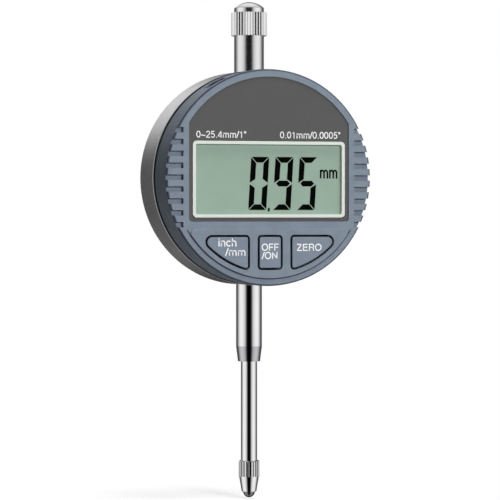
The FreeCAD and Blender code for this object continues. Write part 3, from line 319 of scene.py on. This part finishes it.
class Nodes:
    """The node tree of a material or a world, with short ways to add nodes and join them."""

    def __init__(self, owner):
        owner.use_nodes = True
        self.tree = owner.node_tree

    def node(self, kind, **inputs):
        node = self.tree.nodes.new(kind)
        for socket, level in inputs.items():
            node.inputs[socket].default_value = level
        return node

    def link(self, source, target):
        self.tree.links.new(source, target)

    def calculate(self, kind, operation, first, second=None):
        """The outputs of a calculation on one output and a second output or a fixed level."""
        node = self.node(kind)
        node.operation = operation
        self.link(first, node.inputs[0])
        if isinstance(second, bpy.types.NodeSocket):
            self.link(second, node.inputs[1])
        elif second is not None:
            node.inputs[1].default_value = second
        return node.outputs

    def number(self, operation, first, second=None):
        """A calculation on numbers."""
        return self.calculate("ShaderNodeMath", operation, first, second)["Value"]

    def vector(self, operation, first, second=None):
        """A calculation on vectors that gives a vector."""
        return self.calculate("ShaderNodeVectorMath", operation, first, second)["Vector"]

    def measure(self, operation, first, second=None):
        """A calculation on vectors that gives a number."""
        return self.calculate("ShaderNodeVectorMath", operation, first, second)["Value"]

    def spread(self, source, low, high, to_low=0.0, to_high=1.0, shape="LINEAR"):
        """A level spread from one range over another, and held at the ends."""
        node = self.node("ShaderNodeMapRange")
        node.interpolation_type = shape
        levels = {"From Min": low, "From Max": high, "To Min": to_low, "To Max": to_high}
        for socket, level in levels.items():
            node.inputs[socket].default_value = level
        self.link(source, node.inputs["Value"])
        return node.outputs["Result"]

    def lay_over(self, mask, before, colour, blend="MIX"):
        """A colour laid over another where the mask is 1."""
        mix = self.node("ShaderNodeMix")
        mix.data_type = "RGBA"
        mix.blend_type = blend
        mix.inputs[MIX_SECOND].default_value = colour
        self.link(mask, mix.inputs["Factor"])
        self.link(before, mix.inputs[MIX_FIRST])
        return mix.outputs[MIX_RESULT]

    def choose(self, share, first, second):
        """The first shader where the share is 0 and the second where it is 1."""
        mix = self.node("ShaderNodeMixShader")
        for place, source in enumerate((share, first, second)):
            self.link(source, mix.inputs[place])
        return mix.outputs[0]


def grey(level):
    """A grey in the form that colour sockets take."""
    return (level, level, level, 1)


class Finish(Nodes):
    """A material with a Principled shader and short ways to vary it."""

    def __init__(self, name, colour, roughness, metallic=0.0):
        self.material = bpy.data.materials.new(name)
        super().__init__(self.material)
        self.shader = self.tree.nodes["Principled BSDF"]
        self.colour = colour
        self.relief = None
        self.set("Base Color", colour)
        self.set("Roughness", roughness)
        self.set("Metallic", metallic)

    def set(self, socket, level):
        self.shader.inputs[socket].default_value = level

    def noise(self, scale, detail=3.0, stretch=(1, 1, 1)):
        """Noise in the object's own space: scale is how many features fit in a metre."""
        place = self.node("ShaderNodeTexCoord")
        mapping = self.node("ShaderNodeMapping", Scale=stretch)
        noise = self.node("ShaderNodeTexNoise", Scale=scale, Detail=detail)
        self.link(place.outputs["Object"], mapping.inputs["Vector"])
        self.link(mapping.outputs["Vector"], noise.inputs["Vector"])
        return noise.outputs["Fac"]

    def mottle(self, source, amount):
        """Lets the colour drift a little darker and lighter."""
        ramp = self.node("ShaderNodeValToRGB")
        ends = ramp.color_ramp.elements
        for end, position, share in zip(ends, COLOUR_NOISE, (1 - amount, 1 + amount)):
            end.position = position
            end.color = [min(1, channel * share) for channel in self.colour[:3]] + [1]
        self.link(source, ramp.inputs["Fac"])
        self.link(ramp.outputs["Color"], self.shader.inputs["Base Color"])

    def vary_roughness(self, source, low, high):
        """Lets the roughness drift between two levels."""
        self.link(self.spread(source, *GLOSS_NOISE, low, high), self.shader.inputs["Roughness"])

    def bump(self, source, depth):
        """Relief of a depth in millimetres, over any relief that is there already."""
        bump = self.node("ShaderNodeBump", Strength=1.0, Distance=depth * MM)
        self.link(source, bump.inputs["Height"])
        if self.relief is not None:
            self.link(self.relief, bump.inputs["Normal"])
        self.relief = bump.outputs["Normal"]
        self.link(self.relief, self.shader.inputs["Normal"])

    def place(self):
        """Where a point lies, in metres: its X, its Y, its height over the case's axis and its distance from
        that axis."""
        centred = self.vector("SUBTRACT", self.node("ShaderNodeTexCoord").outputs["Object"], (0, 0, AXIS))
        split = self.node("ShaderNodeSeparateXYZ")
        self.link(centred, split.inputs[0])
        flat = self.vector("MULTIPLY", centred, (1, 0, 1))
        return split.outputs["X"], split.outputs["Y"], split.outputs["Z"], self.measure("LENGTH", flat)

    def rise(self, source, edge, origin=0.0):
        """A mask that goes from 0 to 1 over a soft edge, which is counted from an origin in metres."""
        start, end = (origin + place * MM for place in edge)
        return self.spread(source, start, end)

    def fall(self, source, edge, origin=0.0):
        """A mask that goes from 1 to 0 over a soft edge, counted in the same way."""
        start, end = (origin + place * MM for place in edge)
        return self.spread(source, start, end, 1, 0)

    def darken(self, share, *masks):
        """Paints shade: takes a share of the colour's brightness away where all the masks are 1."""
        mask = masks[0]
        for following in masks[1:]:
            mask = self.number("MULTIPLY", mask, following)
        colour = self.shader.inputs["Base Color"]
        left = (1 - share, 1 - share, 1 - share * BLUE_SHARE, 1)
        self.link(self.lay_over(mask, colour.links[0].from_socket, left, "MULTIPLY"), colour)


def moulded(name, colour, roughness=0.5, drift=0.05, grain=0.012):
    """Moulded plastic with a fine spark-eroded grain and a faint drift of colour."""
    finish = Finish(name, colour, roughness)
    finish.mottle(finish.noise(scale=260, detail=5), amount=drift)
    finish.vary_roughness(finish.noise(scale=900), roughness - 0.06, roughness + 0.08)
    finish.bump(finish.noise(scale=5200, detail=2), depth=grain)
    return finish


def bezel_finish():
    """The bezel's plastic, with painted shade on its rounded rim, in the port notch and along the case's
    seam, and a painted shadow line round its button field."""
    finish = moulded("bezel", linear(129, 140, 153))
    finish.set("Specular IOR Level", 0.12)
    across, back, up, radius = finish.place()
    front = face_of("front_bezel") + FIELD_RISE * MM
    # Painted shade on the rounded rim of the bezel's face.
    finish.darken(RIM_SHADE, finish.rise(radius, RIM_EDGE), finish.fall(back, RIM_DEPTH, front))
    # Painted shade in the port notch.
    finish.darken(
        NOTCH_SHADE,
        finish.rise(across, NOTCH_LEFT),
        finish.fall(across, NOTCH_RIGHT),
        finish.rise(back, NOTCH_FRONT, front),
        finish.fall(back, NOTCH_BACK, front),
        finish.rise(up, NOTCH_FOOT),
    )
    # Painted shade on the bezel's edge at the seam.
    finish.darken(SEAM_SHADE, finish.rise(back, BEZEL_SEAM, bezel_high.y))
    # Painted shadow along the step round the button field.
    finish.darken(
        LINE_SHADE,
        finish.rise(radius, LINE_INNER),
        finish.fall(radius, LINE_OUTER),
        finish.fall(up, LINE_TOP),
    )
    return finish


def button_finish():
    """The buttons' plastic, with painted shade on their sides below the rounded edge of their tops, down in
    their gaps.
    """
    finish = moulded("button", linear(127, 138, 152), roughness=0.48, drift=0.03, grain=0.008)
    _, back, _, _ = finish.place()
    finish.darken(BUTTON_SHADE, finish.rise(back, BUTTON_EDGE, face_of("button_zero")))
    return finish


def printed(name, colour, roughness):
    """Ink or paint, nearly even in colour and relief."""
    finish = Finish(name, colour, roughness)
    finish.mottle(finish.noise(scale=1500, detail=2), amount=0.02)
    finish.bump(finish.noise(scale=6000, detail=2), depth=0.002)
    return finish


def segment_finish():
    """The display's dark segments, under the same glass as the display."""
    finish = printed("segment", linear(1, 2, 1), roughness=0.5)
    finish.set("Specular IOR Level", 0.05)
    return finish


def display_finish():
    """Reflective display: a fine-grained pale green reflector behind glass."""
    finish = Finish("display", linear(149, 172, 156), roughness=0.32)
    finish.mottle(finish.noise(scale=140, detail=4), amount=0.025)
    finish.bump(finish.noise(scale=9000, detail=2), depth=0.0008)
    finish.set("Coat Weight", 0.25)
    finish.set("Coat Roughness", 0.06)
    return finish


def rubber(name, colour):
    """Soft rubber, mottled and slightly uneven."""
    finish = Finish(name, colour, roughness=0.75)
    finish.mottle(finish.noise(scale=900), amount=0.12)
    finish.bump(finish.noise(scale=4000), depth=0.01)
    return finish


def board_finish():
    """Circuit board: green lacquer over tracks, seen only when the case is taken apart."""
    finish = Finish("board", linear(24, 84, 52), roughness=0.35)
    finish.mottle(finish.noise(scale=700, detail=1, stretch=(1, 1, 0.2)), amount=0.35)
    finish.bump(finish.noise(scale=700, detail=1, stretch=(0.2, 1, 1)), depth=0.02)
    return finish


def polished(name, colour, roughness, metallic=1.0):
    """Ground and polished metal: faint lines run round the piece, with a few uneven spots in its gloss."""
    finish = Finish(name, colour, roughness, metallic)
    finish.mottle(finish.noise(scale=120, detail=4), amount=0.02)
    finish.vary_roughness(finish.noise(scale=400, detail=4), roughness * 0.8, roughness * 1.25)
    finish.bump(finish.noise(scale=9000, detail=2, stretch=(0.02, 0.02, 1)), depth=0.0006)
    return finish


def bright_steel(name):
    """Steel ground nearly to a mirror."""
    return polished(name, linear(246, 246, 247), roughness=0.045)


def stem_finish():
    """The stem's ground cylinder, and its turned taper, darkened with painted shade."""
    finish = bright_steel("stem")
    _, _, up, _ = finish.place()
    finish.darken(TAPER_SHADE, finish.fall(up, TAPER_TOP))
    return finish


def satin(name, colour, roughness):
    """Turned and bead-blasted metal: its lines run round the case's axis."""
    finish = Finish(name, colour, roughness, metallic=1.0)
    finish.mottle(finish.noise(scale=200, detail=5), amount=0.04)
    finish.vary_roughness(finish.noise(scale=1200), roughness - 0.04, roughness + 0.05)
    finish.bump(finish.noise(scale=5000, stretch=(0.05, 1, 0.05)), depth=0.003)
    finish.bump(finish.noise(scale=7000, detail=2), depth=0.0015)
    return finish


def case_finish():
    """The rear body's satin metal, with its edge at the seam in shadow."""
    finish = satin("case_metal", linear(205, 204, 206), roughness=0.3)
    _, back, _, _ = finish.place()
    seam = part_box("case_gasket")[1].y
    # Painted shade on the rear body's edge at the seam.
    finish.darken(SEAM_SHADE, finish.fall(back, CASE_SEAM, seam))
    return finish


def cast_finish():
    """Blasted cast metal under a thin clear lacquer, half as mirror-like as bare metal."""
    finish = satin("aluminium", linear(150, 151, 154), roughness=0.4)
    finish.set("Metallic", 0.5)
    return finish


FINISHES = {
    "bezel": bezel_finish(),
    "button": button_finish(),
    "panel": printed("panel", linear(86, 86, 86), roughness=0.5),
    "display_frame": moulded("display_frame", linear(224, 228, 222), 0.38, drift=0.015, grain=0.004),
    "display": display_finish(),
    "black_plastic": moulded("black_plastic", linear(26, 27, 29), 0.42, drift=0.1, grain=0.008),
    "elastomer": rubber("elastomer", linear(196, 190, 176)),
    "board": board_finish(),
    "black_rubber": rubber("black_rubber", linear(17, 18, 20)),
    "case_metal": case_finish(),
    "steel": polished("steel", linear(205, 205, 208), roughness=0.24),
    "brass": polished("brass", linear(214, 176, 104), roughness=0.28),
    "polished_steel": bright_steel("polished_steel"),
    "stem": stem_finish(),
    "satin_steel": polished("satin_steel", linear(238, 238, 239), roughness=0.17, metallic=0.985),
    "cap_steel": polished("cap_steel", linear(244, 244, 245), roughness=0.08, metallic=0.965),
    "carbide": polished("carbide", linear(128, 129, 132), roughness=0.16),
    "aluminium": cast_finish(),
    "ink": printed("ink", linear(252, 252, 252), roughness=0.55),
    "segment": segment_finish(),
    # A dark finish that paints the shade in the screws' cross recesses.
    "recess_shade": printed("recess_shade", linear(24, 24, 25), roughness=0.5),
    "gold": polished("gold", linear(236, 192, 110), roughness=0.2),
}

# Which finish each node of the CAD model gets.
DRESS = {
    "bezel": ["front_bezel"],
    "button": ["button_inch_mm", "button_off_on", "button_zero"],
    "panel": ["face_panel"],
    "display_frame": ["lcd_frame"],
    "display": ["lcd_glass"],
    "black_plastic": ["lcd_holder", "controller_chip", "battery_holder", "data_port"],
    "elastomer": ["upper_zebra_strip", "lower_zebra_strip", "keypad"],
    "board": ["main_board", "slider_plate"],
    "black_rubber": ["case_gasket", "bump_washer"],
    "case_metal": ["rear_body"],
    "aluminium": ["back_cover", "battery_cover"],
    "steel": ["battery", "battery_contacts", "case_screws", "carrier_screw", "rail_screws", "return_spring"],
    "brass": ["lower_stem_bush", "upper_stem_bush", "top_bush", "spindle_carrier", "guide_rail"],
    "stem": ["stem"],
    "polished_steel": ["spindle", "contact_point", "guide_pin"],
    "satin_steel": ["guard_tube"],
    "cap_steel": ["dust_cap"],
    "carbide": ["contact_ball"],
}


def dress_nodes():
    """Gives every node of the CAD model its finish."""
    for finish, names in DRESS.items():
        for name in names:
            for place in NODES[name].material_slots:
                place.material = FINISHES[finish].material


def new_piece(name, mesh, finish, body):
    """A piece with one finish, which rides on a body."""
    piece = bpy.data.objects.new(name, mesh)
    bpy.context.scene.collection.objects.link(piece)
    mesh.materials.clear()
    mesh.materials.append(FINISHES[finish].material)
    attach(piece, body)
    return piece


def built_piece(name, shape, finish, body):
    """A piece from a closed mesh that has just been built."""
    bmesh.ops.recalc_face_normals(shape, faces=shape.faces)
    mesh = bpy.data.meshes.new(name)
    shape.to_mesh(mesh)
    shape.free()
    new_piece(name, mesh, finish, body)


def add_plate(shape, corners, way):
    """A thin closed plate: the corners of one side, and the way from there to the other."""
    face = shape.faces.new([shape.verts.new(corner) for corner in corners])
    lifted = bmesh.ops.extrude_face_region(shape, geom=[face])
    moved = [item for item in lifted["geom"] if isinstance(item, bmesh.types.BMVert)]
    bmesh.ops.translate(shape, verts=moved, vec=way)


def flat_piece(name, outlines, front, finish, body):
    """Thin plates with the given outlines of (x, z) points, whose backs lie on the plane at front."""
    shape = bmesh.new()
    for points in outlines:
        add_plate(shape, [(x, front, z) for x, z in points], (0, -PRINT_THICK * MM, 0))
    built_piece(name, shape, finish, body)


def segment_outlines():
    """The seven segments of an upright digit, as (x, z) points from its lower left corner in millimetres."""
    wide, high, middle = DIGIT_WIDE, DIGIT_HIGH, DIGIT_HIGH / 2
    waist = STROKE * WAIST_SLOPE + WAIST_GAP
    bar_end = STROKE * BAR_INSET
    half = STROKE / 2
    upper_left = [
        (0, high - MITRE_GAP),
        (0, middle + WAIST_GAP),
        (STROKE, middle + waist),
        (STROKE, high - STROKE - MITRE_GAP),
    ]
    top = [
        (MITRE_GAP, high),
        (STROKE + MITRE_GAP, high - STROKE),
        (wide - STROKE - MITRE_GAP, high - STROKE),
        (wide - MITRE_GAP, high),
    ]
    bar = [
        (bar_end, middle),
        (bar_end + half, middle - half),
        (wide - bar_end - half, middle - half),
        (wide - bar_end, middle),
        (wide - bar_end - half, middle + half),
        (bar_end + half, middle + half),
    ]

    def across(points):
        return [(wide - x, z) for x, z in points]

    def down(points):
        return [(x, high - z) for x, z in points]

    return {
        "a": top,
        "b": across(upper_left),
        "c": across(down(upper_left)),
        "d": down(top),
        "e": down(upper_left),
        "f": upper_left,
        "g": bar,
    }


def slanted(points, left, drop=0.0):
    """Points of an upright form in millimetres, leaned over and put on the display, lower by a drop."""
    lean = math.tan(DIGIT_SLANT)
    return [((left + x + z * lean) * MM, AXIS + (DIGIT_FOOT - drop + z) * MM) for x, z in points]


def build_digits():
    """The lit segments of the reading, and its decimal point."""
    front = face_of("lcd_glass")
    segments = segment_outlines()
    for place, digit in enumerate(READING):
        left = DIGIT_LEFT + place * DIGIT_PITCH
        outlines = [slanted(segments[name], left) for name in LIT[digit]]
        flat_piece(f"digit_{place + 1}", outlines, front, "segment", "case")
    point = slanted(POINT_SHAPE, POINT_LEFT, POINT_DROP)
    flat_piece("decimal_point", [point], front, "segment", "case")


def pen_path(stroke):
    """A stroke's points, with its arcs divided, and whether it is closed."""
    path = []
    for item in stroke:
        if len(item) == 2:
            path.append(item)
            continue
        x, z, wide, high, first, last = item
        steps = max(LEAST_STEPS, round(abs(last - first) / ARC_STEP))
        for step in range(steps + 1):
            turn = math.radians(first + (last - first) * step / steps)
            path.append((x + wide * math.cos(turn), z + high * math.sin(turn)))
    closed = math.dist(path[0], path[-1]) < SAME_POINT
    return (path[:-1] if closed else path), closed


def pen_edges(path, closed, half):
    """Points on both sides of a path, half a pen's width away from it."""
    count = len(path)
    edges = []
    for index, (x, z) in enumerate(path):
        ways = []
        for start, end in ((index - 1, index), (index, index + 1)):
            if closed or (start >= 0 and end < count):
                one, two = Vector(path[start % count]), Vector(path[end % count])
                ways.append((two - one).normalized())
        way = sum(ways, Vector((0, 0))).normalized()
        reach = half / max(CORNER_LIMIT, way.dot(ways[0]))
        side = Vector((-way.y, way.x)) * reach
        edges.append(((x + side.x, z + side.y), (x - side.x, z - side.y)))
    return edges


def add_strip(shape, edges, closed, front):
    """A closed thin strip between two edges, whose back lies on the plane at front."""
    rings = []
    for (left_x, left_z), (right_x, right_z) in edges:
        corners = []
        for depth in (front, front - PRINT_THICK * MM):
            corners.append(shape.verts.new((left_x * MM, depth, left_z * MM)))
            corners.append(shape.verts.new((right_x * MM, depth, right_z * MM)))
        rings.append((corners[0], corners[1], corners[3], corners[2]))
    count = len(rings)
    for index in range(count if closed else count - 1):
        ring, following = rings[index], rings[(index + 1) % count]
        for side in range(4):
            other = (side + 1) % 4
            shape.faces.new((ring[side], ring[other], following[other], following[side]))
    if not closed:
        shape.faces.new(rings[0])
        shape.faces.new(rings[-1])


def write_words(name, words, left, right, base, high, pen, front, finish, body, slot):
    """Words as thin raised strokes on a plane that faces forward. Their sizes are in millimetres, with the
    baseline counted from the case's axis."""
    base += AXIS / MM
    across = (right - left) / sum(LETTERS[letter][0] for letter in words)
    shape = bmesh.new()
    start = 0
    for letter in words:
        wide, strokes = LETTERS[letter]
        for stroke in strokes:
            path, closed = pen_path(stroke)
            placed = [(left + (start + x) * across, base + z * high) for x, z in path]
            add_strip(shape, pen_edges(placed, closed, pen / 2), closed, front)
        start += wide
    built_piece(name, shape, finish, body)


def build_print():
    """The words on the panel, the keys' labels and the display's unit."""
    for name, *print_row in PANEL_PRINT:
        write_words(f"print_{name}", *print_row, face_of("face_panel"), "ink", "case", "panel")
    for node, body, *print_row in KEY_PRINT:
        name = "label_" + "".join(letter for letter in print_row[0].lower() if letter.isalpha())
        write_words(name, *print_row, face_of(node), "ink", body, "button")
    write_words("unit", *UNIT_PRINT, face_of("lcd_glass"), "segment", "case", "display")


def build_contacts():
    """Gold pads on the block of the data port."""
    low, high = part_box("data_port")
    wide, gap = PAD_WIDE * MM, PAD_GAP * MM
    start = (low.x + high.x) / 2 - (PADS * wide + (PADS - 1) * gap) / 2
    front, back = low.y + PAD_FRONT * MM, high.y - PAD_BACK * MM
    shape = bmesh.new()
    for index in range(PADS):
        left = start + index * (wide + gap)
        right = left + wide
        corners = [(left, front, high.z), (right, front, high.z), (right, back, high.z), (left, back, high.z)]
        add_plate(shape, corners, (0, 0, PAD_THICK * MM))
    built_piece("port_contacts", shape, "gold", "case")


def cross_outline():
    """The outline of one dark cross of painted shade, round its middle: three corners for each of its four
    arms.
    """
    arm, half = RECESS_ARM * MM, RECESS_HALF * MM
    outline = []
    for quarter in range(4):
        cosine, sine = math.cos(quarter * math.pi / 2), math.sin(quarter * math.pi / 2)
        for x, z in ((arm, -half), (arm, half), (half, half)):
            outline.append((x * cosine - z * sine, x * sine + z * cosine))
    return outline


def build_recesses():
    """Dark crosses of painted shade where the cross recesses lie in the heads of the case screws, one screw
    in each quarter of the back.
    """
    places = [corner.co for corner in NODES["case_screws"].data.vertices]
    back = max(place.y for place in places)
    heads = {}
    for place in places:
        if back - place.y < HEAD_FLATNESS * MM:
            heads.setdefault((place.x > 0, place.z > AXIS), []).append(place)
    outlines = []
    for rim in heads.values():
        middle_x = (min(place.x for place in rim) + max(place.x for place in rim)) / 2
        middle_z = (min(place.z for place in rim) + max(place.z for place in rim)) / 2
        outlines.append([(middle_x + x, middle_z + z) for x, z in cross_outline()])
    flat_piece("screw_recesses", outlines, back + PRINT_THICK * MM, "recess_shade", "case")


def build_spring():
    """The return spring, as a piece of its own on the case in place of its CAD node; the real one shortens
    against its seat in the top of the case as the spindle goes in.
    """
    node = NODES["return_spring"]
    mesh = node.data.copy()
    mesh.transform(node.matrix_world)
    spring = new_piece("spring", mesh, "steel", "case")
    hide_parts("return_spring")
    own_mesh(spring)


def smooth_nodes():
    """Smooth shading on the turned and moulded forms, with their edges kept sharp."""
    for node in NODES.values():
        node.data.shade_smooth()
        node.data.set_sharp_from_angle(angle=SHARP_ANGLE)


def studio_colour(nodes, direction):
    """What polished metal mirrors in a direction: the studio all round, its ceiling and its cards."""
    level = nodes.vector("NORMALIZE", nodes.vector("MULTIPLY", direction, (1, 1, 0)))
    angle = nodes.number("ARCCOSINE", nodes.measure("DOT_PRODUCT", level, TOWARDS_CAMERA))
    ramp = nodes.node("ShaderNodeValToRGB")
    stops = ramp.color_ramp.elements
    stops.remove(stops[1])
    for place, (degrees, brightness) in enumerate(STUDIO):
        stop = stops[0] if place == 0 else stops.new(degrees / 180)
        stop.color = grey(brightness)
    nodes.link(nodes.number("DIVIDE", angle, math.pi), ramp.inputs["Fac"])

    split = nodes.node("ShaderNodeSeparateXYZ")
    nodes.link(direction, split.inputs[0])
    overhead = nodes.spread(split.outputs["Z"], CEILING_START, CEILING_FULL, shape="SMOOTHSTEP")
    colour = nodes.lay_over(overhead, ramp.outputs["Color"], grey(CEILING))
    for towards_card, end, full, brightness in CARDS:
        nearness = nodes.measure("DOT_PRODUCT", direction, towards_card)
        edge, core = math.cos(math.radians(end)), math.cos(math.radians(full))
        patch = nodes.spread(nearness, edge, core, shape="SMOOTHSTEP")
        colour = nodes.lay_over(patch, colour, grey(brightness))
    return colour


def build_world():
    """White where the camera looks past the object, the studio where metal and glass mirror it, and a dim
    even light on everything else."""
    world = bpy.data.worlds.new("studio")
    bpy.context.scene.world = world
    nodes = Nodes(world)
    nodes.tree.nodes.clear()
    mirrored = nodes.node("ShaderNodeBackground")
    direction = nodes.node("ShaderNodeTexCoord").outputs["Generated"]
    nodes.link(studio_colour(nodes, direction), mirrored.inputs["Color"])
    even = nodes.node("ShaderNodeBackground", Color=grey(1), Strength=AMBIENT)
    white = nodes.node("ShaderNodeBackground", Color=grey(1), Strength=1.0)
    rays = nodes.node("ShaderNodeLightPath").outputs
    seen = nodes.number("MAXIMUM", rays["Is Camera Ray"], rays["Is Transmission Ray"])
    around = nodes.choose(rays["Is Glossy Ray"], even.outputs[0], mirrored.outputs[0])
    output = nodes.node("ShaderNodeOutputWorld")
    nodes.link(nodes.choose(seen, around, white.outputs[0]), output.inputs["Surface"])


def build_floor():
    """A pale floor just under the contact point, plain white away from the object's shadow."""
    below = cad_box[0].z - FLOOR_DROP
    bpy.ops.mesh.primitive_circle_add(
        vertices=FLOOR_SIDES, radius=FLOOR_RADIUS, fill_type="NGON", location=(0, 0, below)
    )
    floor = bpy.context.object
    floor.name = "floor"
    material = bpy.data.materials.new("floor")
    nodes = Nodes(material)
    nodes.tree.nodes.clear()
    distance = nodes.measure("LENGTH", nodes.node("ShaderNodeTexCoord").outputs["Object"])
    fade = nodes.spread(distance, FADE_START, FADE_END, shape="SMOOTHSTEP")
    shaded = nodes.node("ShaderNodeAddShader")
    near = nodes.node("ShaderNodeBsdfDiffuse", Color=grey(FLOOR_GREY))
    glow = nodes.node("ShaderNodeEmission", Strength=FLOOR_GLOW)
    nodes.link(near.outputs[0], shaded.inputs[0])
    nodes.link(glow.outputs[0], shaded.inputs[1])
    white = nodes.node("ShaderNodeEmission")
    seen = nodes.choose(fade, shaded.outputs[0], white.outputs[0])
    plain = nodes.node("ShaderNodeBsdfDiffuse", Color=grey(FLOOR_BOUNCE))
    camera_ray = nodes.node("ShaderNodeLightPath").outputs["Is Camera Ray"]
    output = nodes.node("ShaderNodeOutputMaterial")
    nodes.link(nodes.choose(camera_ray, plain.outputs[0], seen), output.inputs["Surface"])
    floor.data.materials.append(material)
    floor.visible_glossy = False


def build_lamp(name, azimuth, elevation, distance, size, watts):
    """A soft rectangular lamp that looks at the middle of the case and isn't mirrored in its metal."""
    turn, rise = math.radians(azimuth), math.radians(elevation)
    back = Vector((math.sin(turn) * math.cos(rise), -math.cos(turn) * math.cos(rise), math.sin(rise)))
    light = bpy.data.lights.new(name, "AREA")
    light.shape = "RECTANGLE"
    light.size, light.size_y = size
    light.energy = watts
    lamp = bpy.data.objects.new(name, light)
    bpy.context.scene.collection.objects.link(lamp)
    lamp.location = Vector((0, 0, AXIS)) + back * distance
    lamp.rotation_euler = (-back).to_track_quat("-Z", "Y").to_euler()
    lamp.visible_glossy = False


def build_camera():
    """The camera at the photograph's viewing angle."""
    data = bpy.data.cameras.new("camera")
    data.lens = FOCAL_LENGTH
    data.sensor_width = SENSOR_WIDTH
    data.shift_x = SHIFT_RIGHT
    data.clip_end = VIEW_DEPTH
    camera = bpy.data.objects.new("camera", data)
    bpy.context.scene.collection.objects.link(camera)
    camera.location = TOWARDS_CAMERA * CAMERA_DISTANCE + Vector((0, 0, AXIS - CAMERA_DROP))
    camera.rotation_euler = (math.pi / 2 - TILT_DOWN, 0, -CAMERA_AZIMUTH)
    bpy.context.scene.camera = camera


def main():
    smooth_nodes()
    dress_nodes()
    build_digits()
    build_print()
    build_contacts()
    build_recesses()
    build_spring()
    build_world()
    build_floor()
    for lamp in LAMPS:
        build_lamp(*lamp)
    build_camera()
    bpy.context.scene.view_settings.view_transform = "Standard"


main()
